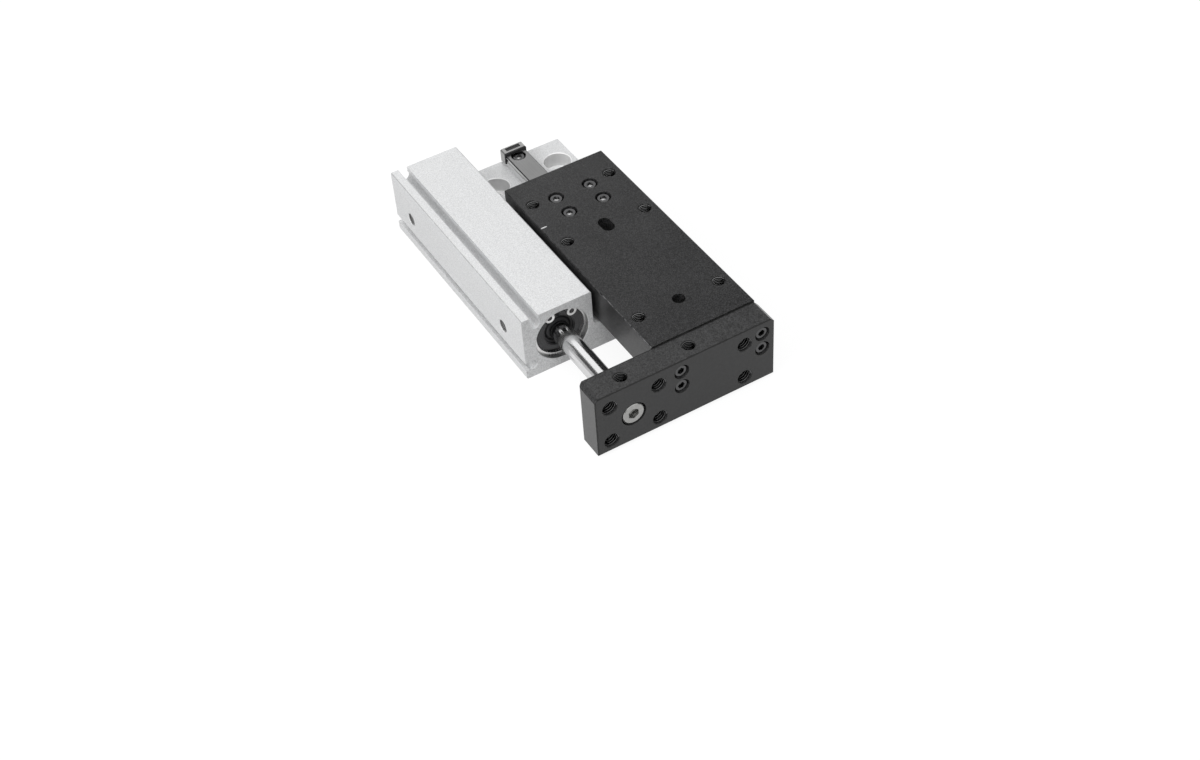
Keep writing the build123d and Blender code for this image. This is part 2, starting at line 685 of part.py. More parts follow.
def carriage_section(step, side_play, roof_play):
    """A saddle over the rail: the carriage's outline less a step, with its opening below."""
    half = CARRIAGE_WIDTH / 2 - step
    top = carriage_top - step
    opening = rail_top + roof_play
    section = Pos(0, (carriage_bottom + top) / 2) * Rectangle(2 * half, top - carriage_bottom)
    section = chamfer(section.vertices().group_by(Axis.Y)[-1], CARRIAGE_EDGE)
    middle = (carriage_bottom + opening) / 2
    return section - Pos(0, middle) * Rectangle(RAIL_WIDTH + 2 * side_play, opening - carriage_bottom)


def end_screw_places():
    """X and Z of the two screws in each end of the carriage."""
    return [(side * END_SCREW_OUT, BASE_THICKNESS + END_SCREW_HEIGHT) for side in (-1, 1)]


def make_carriage_block():
    """The steel saddle of the carriage, with ball tracks, return holes and tapped holes."""
    half = CARRIAGE_STEEL_LENGTH / 2
    y0 = carriage_y - half
    y1 = carriage_y + half
    section = carriage_section(0.0, CARRIAGE_SIDE_PLAY, CARRIAGE_ROOF_PLAY)
    track = BALL_DIAMETER / 2 + BALL_PLAY
    for side in (-1, 1):
        load = Pos(side * (RAIL_WIDTH / 2 + BALL_OUT), BASE_THICKNESS + BALL_HEIGHT)
        section -= load * Circle(track)
        back = Pos(side * RETURN_OUT, BASE_THICKNESS + RETURN_HEIGHT)
        section -= back * Circle(RETURN_DIAMETER / 2)
    saddle = along_y(section, y0, y1)
    for x, y in carriage_screw_places():
        saddle -= drill_down(x, y, carriage_top, M3_DIAMETER, CARRIAGE_HOLE_DEPTH)
    for x, z in end_screw_places():
        depth = END_SCREW_GRIP + HOLE_SPARE / 2
        for y in (y0, y1 - depth):
            saddle -= drill_back(x, y, z, END_SCREW_DIAMETER, depth)
    return saddle


def carriage_screw_places():
    """X and Y of the four screws between table and carriage."""
    half_x = CARRIAGE_HOLES_ACROSS / 2
    half_y = CARRIAGE_HOLES_ALONG / 2
    return [(sx * half_x, carriage_y + sy * half_y) for sx in (-1, 1) for sy in (-1, 1)]


def end_pieces(section, thickness, inset, hole):
    """A pair of end pieces for the carriage, this far outside its steel saddle."""
    pieces = []
    for side in (-1, 1):
        near = carriage_y + side * (CARRIAGE_STEEL_LENGTH / 2 + inset)
        far = near + side * thickness
        y0, y1 = min(near, far), max(near, far)
        piece = along_y(section, y0, y1)
        for x, z in end_screw_places():
            piece -= drill_back(x, y0, z, hole, thickness)
        pieces.append(piece)
    return pieces


def make_end_caps():
    """The plastic caps that turn the balls round at each end."""
    section = carriage_section(END_CAP_STEP, END_CAP_RAIL_PLAY, END_CAP_ROOF_PLAY)
    hole = END_SCREW_DIAMETER + 2 * SCREW_PLAY
    return end_pieces(section, END_CAP_LENGTH, 0.0, hole)


def make_end_seals():
    """The thin wipers on the outside of the end caps."""
    section = carriage_section(END_SEAL_STEP, END_SEAL_RAIL_PLAY, END_SEAL_ROOF_PLAY)
    hole = END_SCREW_HEAD + 2 * SCREW_PLAY
    return end_pieces(section, END_SEAL_THICKNESS, END_CAP_LENGTH, hole)


def make_end_screws():
    """The small screws that hold each end cap."""
    screws = []
    shank = END_CAP_LENGTH + END_SCREW_GRIP
    for side in (-1, 1):
        seat = carriage_y + side * (CARRIAGE_STEEL_LENGTH / 2 + END_CAP_LENGTH)
        for x, z in end_screw_places():
            head = Pos(0, 0, END_SCREW_HEAD_HEIGHT / 2)
            screw = head * Cylinder(END_SCREW_HEAD / 2, END_SCREW_HEAD_HEIGHT)
            stem = Cylinder(END_SCREW_DIAMETER / 2 - SCREW_PLAY, shank)
            screw += Pos(0, 0, -shank / 2) * stem
            screws.append(Pos(x, seat, z) * Rot(-side * 90, 0, 0) * screw)
    return screws


def make_balls():
    """The loaded row of balls on each side of the rail."""
    count = int((CARRIAGE_STEEL_LENGTH - BALL_DIAMETER) / BALL_PITCH) + 1
    start = carriage_y - (count - 1) * BALL_PITCH / 2
    balls = []
    for side in (-1, 1):
        x = side * (RAIL_WIDTH / 2 + BALL_OUT)
        for i in range(count):
            place = Pos(x, start + i * BALL_PITCH, BASE_THICKNESS + BALL_HEIGHT)
            balls.append(place * Sphere(BALL_DIAMETER / 2))
    return balls


def table_hole_places():
    """X and Y of the tapped holes on the table, in three rows of two."""
    rows = [TABLE_HOLE_FROM_REAR]
    rows.append(rows[0] + TABLE_HOLE_PITCH)
    rows.append(rows[1] + TABLE_LONG_PITCH)
    half = TABLE_HOLES_ACROSS / 2
    return [(side * half, table_rear - row) for row in rows for side in (-1, 1)]


def plate_screw_places():
    """X and Z of the four screws between plate and table."""
    half = PLATE_SCREWS_ACROSS / 2
    heights = (PLATE_SCREW_LOW, PLATE_SCREW_LOW + PLATE_SCREW_RISE)
    return [(PLATE_SCREWS_SHIFT + side * half, z) for side in (-1, 1) for z in heights]


def make_table():
    """The slide table: a deep channel turned over, which sits on the carriage."""
    channel = CARRIAGE_WIDTH + 2 * CHANNEL_PLAY
    middle = (table_bottom + table_top) / 2
    section = Pos(0, middle) * Rectangle(TABLE_WIDTH, TABLE_SIDE_HEIGHT)
    section = chamfer(section.vertices(), TABLE_EDGE)
    depth = carriage_top - table_bottom
    section -= Pos(0, table_bottom + depth / 2) * Rectangle(channel, depth)
    table = along_y(section, plate_back, table_rear)
    for x, y in table_hole_places():
        table -= drill_down(x, y, table_top, TABLE_HOLE_DIAMETER, TABLE_HOLE_DEPTH)
        table -= countersink_down(x, y, table_top, TABLE_HOLE_DIAMETER, HOLE_COUNTERSINK)
    for x, y in carriage_screw_places():
        table -= drill_down(x, y, table_top, M3_CLEARANCE_HOLE, TABLE_ROOF)
        table -= drill_down(x, y, table_top, M3_COUNTERBORE, M3_HEAD_HEIGHT + TABLE_SCREW_SINK)
        table -= countersink_down(x, y, table_top, M3_COUNTERBORE, HOLE_COUNTERSINK / 2)
    slot_y = table_rear - TABLE_HOLE_FROM_REAR - TABLE_HOLE_PITCH
    dowel_y = slot_y - TABLE_LONG_PITCH
    table -= drill_down(0, dowel_y, table_top, DOWEL_DIAMETER, DOWEL_DEPTH)
    slot = SlotOverall(DOWEL_SLOT_LENGTH, DOWEL_DIAMETER, rotation=90)
    table -= Pos(0, slot_y, table_top - DOWEL_DEPTH) * extrude(slot, amount=DOWEL_DEPTH)
    for x, z in plate_screw_places():
        table -= drill_back(x, plate_back, z, M3_DIAMETER, PLATE_SCREW_GRIP + HOLE_SPARE)
    return table


def make_carriage_screws():
    """The screws that hold the table on the carriage."""
    seat = table_top - M3_HEAD_HEIGHT - TABLE_SCREW_SINK
    screw = m3_screw(seat - carriage_top + TABLE_SCREW_GRIP)
    return each_turned([Pos(x, y, seat) for x, y in carriage_screw_places()], screw)


def face_hole_places():
    """X and Z of the six tapped holes in the plate's front face."""
    first = plate_left + FACE_HOLE_FIRST
    columns = (first, first + FACE_HOLE_PITCH, first + FACE_HOLE_PITCH + FACE_HOLE_FAR_PITCH)
    heights = (FACE_HOLE_LOW, FACE_HOLE_LOW + FACE_HOLE_RISE)
    return [(x, z) for x in columns for z in heights]


def make_plate():
    """The front plate that joins the table and the rod."""
    middle = (plate_front + plate_back) / 2
    plate = block(plate_left, plate_right, plate_front, plate_back, PLATE_BOTTOM, PLATE_TOP)
    top_ends = plate.edges().filter_by(Axis.Y).group_by(Axis.Z)[-1]
    plate = chamfer(top_ends, PLATE_CORNER)
    rear_ends = plate.edges().filter_by(Axis.Z).group_by(Axis.Y)[-1]
    plate = fillet(rear_ends, PLATE_REAR_EDGE)
    plate = chamfer(plate.faces().sort_by(Axis.Y)[0].edges(), PLATE_EDGE)
    for x, z in face_hole_places():
        plate -= drill_back(x, plate_front, z, FACE_HOLE_DIAMETER, FACE_HOLE_DEPTH)
        plate -= countersink_back(x, plate_front, z, FACE_HOLE_DIAMETER, HOLE_COUNTERSINK)
    for i in range(2):
        x = plate_left + TOP_HOLE_FIRST + i * TOP_HOLE_PITCH
        plate -= drill_down(x, middle, PLATE_TOP, TOP_HOLE_DIAMETER, TOP_HOLE_DEPTH)
        plate -= countersink_down(x, middle, PLATE_TOP, TOP_HOLE_DIAMETER, HOLE_COUNTERSINK)
    for x, z in plate_screw_places():
        plate -= drill_back(x, plate_front, z, M3_CLEARANCE_HOLE, PLATE_THICKNESS)
        plate -= drill_back(x, plate_front, z, M3_COUNTERBORE, M3_HEAD_HEIGHT + PLATE_SCREW_SINK)
    plate -= drill_back(bore_x, plate_front, bore_z, M5_CLEARANCE_HOLE, PLATE_THICKNESS)
    plate -= drill_back(bore_x, plate_front, bore_z, M5_COUNTERBORE, M5_HEAD_HEIGHT + ROD_SCREW_SINK)
    return plate


def make_plate_screws():
    """The screws that hold the plate on the table's front end."""
    seat = plate_front + M3_HEAD_HEIGHT + PLATE_SCREW_SINK
    screw = m3_screw(plate_back - seat + PLATE_SCREW_GRIP)
    return each_turned([facing_front(x, seat, z) for x, z in plate_screw_places()], screw)


def make_rod_screw():
    """The screw that holds the rod against the plate."""
    seat = plate_front + M5_HEAD_HEIGHT + ROD_SCREW_SINK
    screw = m5_screw(plate_back - seat + ROD_SCREW_GRIP)
    return facing_front(bore_x, seat, bore_z) * Rot(0, 0, ROD_SCREW_TURN) * screw


def make_bumper(y0):
    """A rubber ring that cushions the piston's end stop."""
    return tube(BUMPER_OUTER / 2, BUMPER_INNER / 2, y0, y0 + BUMPER_THICKNESS)


NODES = {
    "cylinder_body": make_body(),
    "rod_gland": make_rod_gland(),
    "gland_bush": make_gland_bush(),
    "gland_o_ring": o_ring(front + front_pocket - O_RING_PLACE),
    "rod_seal": make_rod_seal(),
    "front_retaining_ring": make_retaining_ring(front + RING_INSET + RING_SIDE_PLAY),
    "front_bumper": make_bumper(front + front_pocket),
    "rear_cap": make_rear_cap(),
    "rear_cap_o_ring": o_ring(rear - rear_pocket + O_RING_PLACE),
    "rear_retaining_ring": make_retaining_ring(rear - RING_INSET - ring_groove_width),
    "rear_bumper": make_bumper(rear - rear_pocket - BUMPER_THICKNESS),
    "guide_rail": make_rail(),
    "rail_screws": make_rail_screws(),
    "rail_stop": make_rail_stop(),
    "rail_stop_pad": make_stop_pad(),
    "piston_rod": make_rod(),
    "piston_front_half": make_piston_front(),
    "piston_rear_half": make_piston_rear(),
    "piston_seals": make_piston_seals(),
    "piston_wear_ring": make_wear_ring(),
    "piston_magnet": make_piston_magnet(),
    "piston_nut": make_piston_nut(),
    "carriage_block": make_carriage_block(),
    "carriage_end_caps": make_end_caps(),
    "carriage_end_seals": make_end_seals(),
    "carriage_end_screws": make_end_screws(),
    "carriage_balls": make_balls(),
    "slide_table": make_table(),
    "carriage_screws": make_carriage_screws(),
    "front_plate": make_plate(),
    "plate_screws": make_plate_screws(),
    "rod_screw": make_rod_screw(),
}

os.makedirs("parts", exist_ok=True)
for name, shape in NODES.items():
    if isinstance(shape, list):
        shape = Compound([solid for piece in shape for solid in piece.solids()])
    export_step(shape, f"parts/{name}.step")
print("body length", body_length, "table length", table_length)
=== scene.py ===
"""Looks of the pneumatic slide cylinder: its finishes, screw threads, knurls and the studio around it."""
import json
import logging
import math
from dataclasses import dataclass, replace
from enum import Enum
from functools import cache
from typing import Sequence

import bmesh
import bpy
from mathutils import Matrix, Vector


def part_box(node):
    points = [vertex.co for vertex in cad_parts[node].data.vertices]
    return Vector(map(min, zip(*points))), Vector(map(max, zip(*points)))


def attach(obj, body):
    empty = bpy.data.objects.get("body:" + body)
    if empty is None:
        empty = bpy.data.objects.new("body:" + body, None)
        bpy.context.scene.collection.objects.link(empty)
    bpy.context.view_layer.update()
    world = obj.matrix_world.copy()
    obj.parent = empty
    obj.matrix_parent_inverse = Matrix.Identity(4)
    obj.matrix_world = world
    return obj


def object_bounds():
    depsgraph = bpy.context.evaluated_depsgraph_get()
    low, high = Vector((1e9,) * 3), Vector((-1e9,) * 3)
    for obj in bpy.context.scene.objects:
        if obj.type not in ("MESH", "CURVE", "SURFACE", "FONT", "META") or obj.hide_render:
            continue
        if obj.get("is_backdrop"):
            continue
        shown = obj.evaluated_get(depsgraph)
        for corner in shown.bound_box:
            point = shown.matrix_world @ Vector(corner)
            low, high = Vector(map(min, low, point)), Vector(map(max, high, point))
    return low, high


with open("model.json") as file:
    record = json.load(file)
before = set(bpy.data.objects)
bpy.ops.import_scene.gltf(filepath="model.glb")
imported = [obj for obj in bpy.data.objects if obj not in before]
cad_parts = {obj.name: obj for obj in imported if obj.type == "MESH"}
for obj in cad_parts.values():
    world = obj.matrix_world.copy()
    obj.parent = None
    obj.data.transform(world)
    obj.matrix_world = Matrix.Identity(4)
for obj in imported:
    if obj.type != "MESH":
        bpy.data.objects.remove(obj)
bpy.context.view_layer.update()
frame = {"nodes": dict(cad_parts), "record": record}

MM = 0.001
log = logging.getLogger("slide_cylinder")

Colour = tuple[float, float, float]
Point = tuple[float, float, float]
Material = bpy.types.Material
Socket = bpy.types.NodeSocket

# A colour, a roughness and a metallic value, each a value or a socket
Look = tuple[object, object, object]

# A length that reaches past every piece
FAR = 1.0

# Points of a mesh that lie nearer than this are one, in a CAD node and in a grown piece
SAME_POINT_CAD = 0.002 * MM
SAME_POINT_GROWN = 0.001 * MM

# Noise lies mostly within a range round its middle, and a gain makes its swing fuller
NOISE_RANGE = (0.3, 0.7)
NOISE_MIDDLE = 0.5
NOISE_GAIN = 4.0
NOISE_ROUGHNESS = 0.55

# What is kept of an offset across each axis, and in every direction
ACROSS_X = (0.0, 1.0, 1.0)
ACROSS_Y = (1.0, 0.0, 1.0)
ACROSS_Z = (1.0, 1.0, 0.0)
EVERY_WAY = (1.0, 1.0, 1.0)


class Body(Enum):
    """The two rigid bodies of the model."""

    FIXED = "body"
    SLIDE = "slide"


class Slot(Enum):
    """Material slots of the record. A screw set's slot picks its finish; the threads take theirs as given."""

    CLEAR = "clear_anodised"
    BLACK = "black_anodised"
    SCREW = "black_steel"
    PLATED = "plated_steel"


class Way(Enum):
    """A way into a hole or out of a head: its direction, and the turn that points +Z along it."""

    UP = ((0.0, 0.0, 1.0), (0.0, 0.0, 0.0))
    DOWN = ((0.0, 0.0, -1.0), (math.pi, 0.0, 0.0))
    FRONT = ((0.0, -1.0, 0.0), (math.pi / 2, 0.0, 0.0))
    BACK = ((0.0, 1.0, 0.0), (-math.pi / 2, 0.0, 0.0))
    RIGHT = ((1.0, 0.0, 0.0), (0.0, math.pi / 2, 0.0))

    @property
    def axis(self) -> Vector:
        """The direction, of length 1."""
        return Vector(self.value[0])

    @property
    def turn(self) -> Point:
        """The turn that points +Z that way."""
        return self.value[1]


class Kind(Enum):
    """Kinds of socket that a node group has."""

    VALUE = "NodeSocketFloat"
    COUNT = "NodeSocketInt"
    VECTOR = "NodeSocketVector"
    MATERIAL = "NodeSocketMaterial"
    GEOMETRY = "NodeSocketGeometry"


class Effect(Enum):
    """The shared shader node groups, by name."""

    GRAIN = "fine_grain"
    LINES = "fine_lines"
    RINGS = "turned_rings"
    EDGES = "worn_edges"
    ZONE = "cut_zone"


def rgba(colour: Colour) -> tuple[float, float, float, float]:
    """Gives a colour with its alpha."""
    return (*colour, 1.0)


def grey(level: float) -> tuple[float, float, float, float]:
    """Gives a neutral colour with its alpha."""
    return (level, level, level, 1.0)


def middle(node: str) -> Point:
    """Gives the middle of a CAD node's box."""
    low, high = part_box(node)
    return tuple((low + high) / 2)


def add_object(name: str, data: bpy.types.ID) -> bpy.types.Object:
    """Makes an object and puts it in the scene.

    Args:
        name: the object's name.
        data: its mesh, lamp or camera.

    Returns:
        The object, at the origin.
    """
    made = bpy.data.objects.new(name, data)
    bpy.context.scene.collection.objects.link(made)
    return made


def cleared_tree(owner: Material | bpy.types.World) -> bpy.types.NodeTree:
    """Gives the empty node tree of a new material or world.

    Args:
        owner: the material or world.

    Returns:
        Its tree, with no node in it.
    """
    owner.use_nodes = True
    owner.node_tree.nodes.clear()
    return owner.node_tree


class NodeTree:
    """Short calls for adding and linking nodes in a shader or geometry tree."""

    def __init__(self, tree: bpy.types.NodeTree) -> None:
        """Wraps the tree that new nodes go into."""
        self.tree = tree

    def fill(self, socket: Socket, value: object) -> None:
        """Links an input, or sets it.

        Args:
            socket: the input of a node.
            value: the socket to link from, or a plain value.
        """
        if isinstance(value, Socket):
            self.tree.links.new(value, socket)
        else:
            socket.default_value = value

    def add(self, kind: str, inputs: dict | None = None, **settings: object) -> bpy.types.Node:
        """Adds a node, sets its options and fills its inputs.

        Args:
            kind: the node's type name.
            inputs: socket name or number to a value, or to a socket to link from.
            settings: options of the node itself, such as operation.

        Returns:
            The new node.
        """
        node = self.tree.nodes.new(kind)
        for option, value in settings.items():
            setattr(node, option, value)
        for key, value in (inputs or {}).items():
            self.fill(node.inputs[key], value)
        return node

    def out(self, kind: str, inputs: dict | None = None, **settings: object) -> Socket:
        """Adds a node as add does and gives its first output."""
        return self.add(kind, inputs, **settings).outputs[0]

    def math(self, operation: str, *values: object) -> Socket:
        """Adds a Math node on numbers or sockets and gives its result."""
        return self.out("ShaderNodeMath", dict(enumerate(values)), operation=operation)

    def vector(self, operation: str, *values: object) -> Socket:
        """Adds a Vector Math node on vectors or sockets and gives its result."""
        node = self.add("ShaderNodeVectorMath", dict(enumerate(values)), operation=operation)
        return node.outputs["Value" if operation == "LENGTH" else "Vector"]

    def spread(self, value: object, low: float, high: float, to_low: float, to_high: float) -> Socket:
        """Maps a range of values smoothly to another range.

        Args:
            value: the socket to read.
            low: the value that gives to_low.
            high: the value that gives to_high.
            to_low: the result at low and below.
            to_high: the result at high and above.

        Returns:
            The result's socket.
        """
        inputs = {"Value": value, "From Min": low, "From Max": high, "To Min": to_low, "To Max": to_high}
        return self.out("ShaderNodeMapRange", inputs, interpolation_type="SMOOTHSTEP")

    def around(self, value: object, centre: float, share: float, low: float = 0.0,
               high: float = 1.0) -> Socket:
        """Maps a range of values smoothly to a range round a centre.

        Args:
            value: the socket to read.
            centre: the middle of the result's range.
            share: how far the result goes each way, as a share of its centre.
            low: the value that gives the lowest result.
            high: the value that gives the highest result.

        Returns:
            The result's socket.
        """
        return self.spread(value, low, high, centre * (1.0 - share), centre * (1.0 + share))

    def noise(self, vector: object, scale: object, detail: float = 2.0) -> Socket:
        """Adds a Noise Texture.

        Args:
            vector: the coordinates, in metres.
            scale: features per metre.
            detail: how many finer layers it adds.

        Returns:
            The socket of its value from 0 to 1.
        """
        inputs = {"Vector": vector, "Scale": scale, "Detail": detail, "Roughness": NOISE_ROUGHNESS}
        return self.out("ShaderNodeTexNoise", inputs)

    def swing(self, noise: Socket, amount: object) -> Socket:
        """Gives noise as a swing round 0 that grows with an amount."""
        offset = self.math("MULTIPLY", self.math("SUBTRACT", noise, NOISE_MIDDLE), amount)
        return self.math("MULTIPLY", offset, NOISE_GAIN)

    def mix(self, factor: object, a: object, b: object, blend_type: str = "MIX") -> Socket:
        """Mixes two colours, from the first at factor 0 to the second at 1."""
        node = self.add("ShaderNodeMix", {0: factor, 6: a, 7: b}, data_type="RGBA", blend_type=blend_type)
        return node.outputs[2]

    def blend(self, factor: object, a: object, b: object) -> Socket:
        """Mixes two values, from the first at factor 0 to the second at 1."""
        return self.out("ShaderNodeMix", {0: factor, 2: a, 3: b}, data_type="FLOAT")


class NodeGroup(NodeTree):
    """A node group with named inputs and outputs."""

    def __init__(self, name: str, tree_type: str, inputs: dict[str, Kind], outputs: dict[str, Kind]) -> None:
        """Makes a group with its sockets.

        Args:
            name: the group's name.
            tree_type: whether it is a shader or a geometry tree.
            inputs: input name to its kind.
            outputs: output name to its kind.
        """
        super().__init__(bpy.data.node_groups.new(name, tree_type))
        self.keys = {}
        face = self.tree.interface
        for socket, kind in inputs.items():
            made = face.new_socket(name=socket, in_out="INPUT", socket_type=kind.value)
            self.keys[socket] = made.identifier
        for socket, kind in outputs.items():
            face.new_socket(name=socket, in_out="OUTPUT", socket_type=kind.value)
        self.source = self.add("NodeGroupInput").outputs
        self.result = self.add("NodeGroupOutput").inputs


class EffectGroup(NodeGroup):
    """A shader node group that gives values for places on a surface."""

    def __init__(self, effect: Effect, inputs: dict[str, Kind], *outputs: str) -> None:
        """Makes the group, with an input Vector for the place.

        Args:
            effect: what it is.
            inputs: name of each other input to its kind.
            outputs: the names of its values.
        """
        super().__init__(effect.value, "ShaderNodeTree", {"Vector": Kind.VECTOR, **inputs},
                         dict.fromkeys(outputs, Kind.VALUE))

    def from_centre(self) -> tuple[Socket, Socket]:
        """Gives the offset from the input Centre, and what the input Flatten keeps of it."""
        away = self.vector("SUBTRACT", self.source["Vector"], self.source["Centre"])
        return away, self.vector("MULTIPLY", away, self.source["Flatten"])


def build_grain() -> None:
    """Builds the fine speckle of a blasted or cast surface.

    Shade lies round 1 and Height goes from 0 to 1. Depth says how far the specks change the shade, and
    Mottle how far broad clouds do.
    """
    inputs = dict.fromkeys(("Scale", "Depth", "Mottle", "Mottle Scale"), Kind.VALUE)
    group = EffectGroup(Effect.GRAIN, inputs, "Shade", "Height")
    speck_share, coarse_scale, darkest = 0.8, 0.37, 0.1
    source = group.source
    speck = group.noise(source["Vector"], source["Scale"], detail=3.0)
    coarse = group.noise(source["Vector"], group.math("MULTIPLY", source["Scale"], coarse_scale))
    height = group.math("ADD", group.math("MULTIPLY", speck, speck_share),
                        group.math("MULTIPLY", coarse, 1.0 - speck_share))
    cloud = group.noise(source["Vector"], source["Mottle Scale"], detail=3.0)
    fine, broad = group.swing(height, source["Depth"]), group.swing(cloud, source["Mottle"])
    shade = group.math("ADD", group.math("ADD", fine, 1.0), broad)
    group.fill(group.result["Shade"], group.math("MAXIMUM", shade, darkest))
    group.fill(group.result["Height"], height)


def build_lines() -> None:
    """Builds fine lines along one axis, as an extrusion die or a grinding wheel leaves.

    Lines goes from 0 to 1. Stretch says how fine the lines are along each axis.
    """
    group = EffectGroup(Effect.LINES, {"Stretch": Kind.VECTOR}, "Lines")
    stretched = group.vector("MULTIPLY", group.source["Vector"], group.source["Stretch"])
    lines = group.noise(stretched, 1.0, detail=4.0)
    group.fill(group.result["Lines"], group.spread(lines, *NOISE_RANGE, 0.0, 1.0))


def build_rings() -> None:
    """Builds the fine rings that turning leaves round an axis through Centre.

    Rings goes from 0 to 1. Flatten is 0 along the axis and 1 across it.
    """
    group = EffectGroup(Effect.RINGS, {"Centre": Kind.VECTOR, "Flatten": Kind.VECTOR}, "Rings")
    ring_scale = 4000.0
    radius = group.vector("LENGTH", group.from_centre()[1])
    rings = group.noise(group.out("ShaderNodeCombineXYZ", {"X": radius}), ring_scale, detail=3.0)
    group.fill(group.result["Rings"], group.spread(rings, *NOISE_RANGE, 0.0, 1.0))


def build_edges() -> None:
    """Builds a mask of the edges of a box-shaped piece.

    Mask is 1 on the edges between two faces of the box from Low to High and 0 elsewhere, broken up by
    noise. It fades out along Y from Until on.
    """
    inputs = {"Low": Kind.VECTOR, "High": Kind.VECTOR,
              **dict.fromkeys(("Width", "Breakup", "Until", "Fade"), Kind.VALUE)}
    group = EffectGroup(Effect.EDGES, inputs, "Mask")
    break_scale, full_share, end_share, thinnest = 700.0, 0.6, 1.1, 0.01 * MM
    source = group.source
    from_low = group.vector("SUBTRACT", source["Vector"], source["Low"])
    from_high = group.vector("SUBTRACT", source["High"], source["Vector"])
    nearest = group.vector("MINIMUM", from_low, from_high)
    x, y, z = group.add("ShaderNodeSeparateXYZ", {0: nearest}).outputs
    second = group.math("MAXIMUM", group.math("MINIMUM", x, y),
                        group.math("MINIMUM", group.math("MAXIMUM", x, y), z))
    swing = group.swing(group.noise(source["Vector"], break_scale, detail=3.0), source["Breakup"])
    width = group.math("MULTIPLY", source["Width"], group.math("ADD", 1.0, swing))
    share = group.math("DIVIDE", second, group.math("MAXIMUM", width, thinnest))
    edge = group.spread(share, full_share, end_share, 1.0, 0.0)
    along = group.add("ShaderNodeSeparateXYZ", {0: source["Vector"]}).outputs[1]
    past = group.math("DIVIDE", group.math("SUBTRACT", along, source["Until"]), source["Fade"])
    group.fill(group.result["Mask"], group.math("MULTIPLY", edge, group.spread(past, 0.0, 1.0, 1.0, 0.0)))


def build_zone() -> None:
    """Builds a round area that gets another look: metal cut by a drill, a boring tool or a grinding wheel, a
    scuff, or painted light and shade.

    Mask is 1 within Radius of an axis through Centre and up to Reach along it, and 0 outside. Flatten is 0
    along that axis and 1 across it.
    """
    inputs = {"Centre": Kind.VECTOR, "Flatten": Kind.VECTOR, "Radius": Kind.VALUE, "Reach": Kind.VALUE}
    group = EffectGroup(Effect.ZONE, inputs, "Mask")
    full_share, end_share = 0.995, 1.005
    away, flat = group.from_centre()
    inside = []
    for offset, limit in ((flat, "Radius"), (group.vector("SUBTRACT", away, flat), "Reach")):
        share = group.math("DIVIDE", group.vector("LENGTH", offset), group.source[limit])
        inside.append(group.spread(share, full_share, end_share, 1.0, 0.0))
    group.fill(group.result["Mask"], group.math("MULTIPLY", *inside))


@dataclass(frozen=True)
class BareOrPaintedMetal:
    """The grey look laid over a place: bare metal that was cut, ground or rubbed, a dark edge, or painted
    light and shade.
    """

    level: float
    metallic: float
    roughness: float


@dataclass(frozen=True)
class CutOrPaintedZone:
    """A round area that differs from its surface: a bore, a port, a raceway, a base hole, a socket or a
    scuff, several of them with painted light and shade.
    """

    centre: Vector | Point
    flatten: Point
    radius: float
    metal: BareOrPaintedMetal
    reach: float = FAR


class Surface(NodeTree):
    """One material in the making: its tree, its shader and the Object coordinates."""

    def __init__(self, name: str) -> None:
        """Makes the material with its shader and output.

        Args:
            name: the material's name.
        """
        self.material = bpy.data.materials.new(name)
        super().__init__(cleared_tree(self.material))
        self.shader = self.add("ShaderNodeBsdfPrincipled")
        self.add("ShaderNodeOutputMaterial", {"Surface": self.shader.outputs[0]})
        coordinates = self.add("ShaderNodeTexCoord").outputs
        self.place, self.facing = coordinates["Object"], coordinates["Normal"]

    def effect(self, effect: Effect, **inputs: object) -> bpy.types.bpy_prop_collection:
        """Places an effect group that reads the Object coordinates.

        Args:
            effect: the effect.
            inputs: input name, with _ for a space, to its value.

        Returns:
            The group's outputs.
        """
        values = {name.replace("_", " "): value for name, value in inputs.items()}
        group = bpy.data.node_groups[effect.value]
        return self.add("ShaderNodeGroup", {"Vector": self.place, **values}, node_tree=group).outputs

    def set(self, **values: object) -> None:
        """Sets or links inputs of the shader, named with _ for a space."""
        for name, value in values.items():
            self.fill(self.shader.inputs[name.replace("_", " ")], value)

    def tinted(self, colour: Colour, tint: Socket) -> Socket:
        """Gives a colour multiplied by a tint that lies round 1."""
        shade = self.out("ShaderNodeCombineColor", {0: tint, 1: tint, 2: tint})
        return self.mix(1.0, rgba(colour), shade, "MULTIPLY")

    def bump(self, height: Socket, depth: float) -> None:
        """Adds a bump from a height map, of which 1 stands for the depth in metres."""
        self.set(Normal=self.out("ShaderNodeBump", {"Height": height, "Distance": depth, "Strength": 1.0}))

    def lay(self, mask: Socket, metal: BareOrPaintedMetal, look: Look) -> Look:
        """Lays bare metal, or painted light and shade, over a look where a mask is 1.

        Args:
            mask: where the metal is.
            metal: the metal.
            look: the look of the rest.

        Returns:
            The look of both.
        """
        colour, rough, metallic = look
        if metallic != metal.metallic:
            metallic = self.blend(mask, metallic, metal.metallic)
        return self.mix(mask, colour, grey(metal.level)), self.blend(mask, rough, metal.roughness), metallic

    def paint(self, look: Look, zones: Sequence[CutOrPaintedZone]) -> None:
        """Gives the shader its look, with the zones laid over it.

        Args:
            look: the look of the rest.
            zones: the cut, scuffed and painted areas, of which the later lie over the earlier.
        """
        for zone in zones:
            inside = self.effect(Effect.ZONE, Centre=zone.centre, Flatten=zone.flatten, Radius=zone.radius,
                                 Reach=zone.reach)["Mask"]
            look = self.lay(inside, zone.metal, look)
        self.set(Base_Color=look[0], Roughness=look[1], Metallic=look[2])


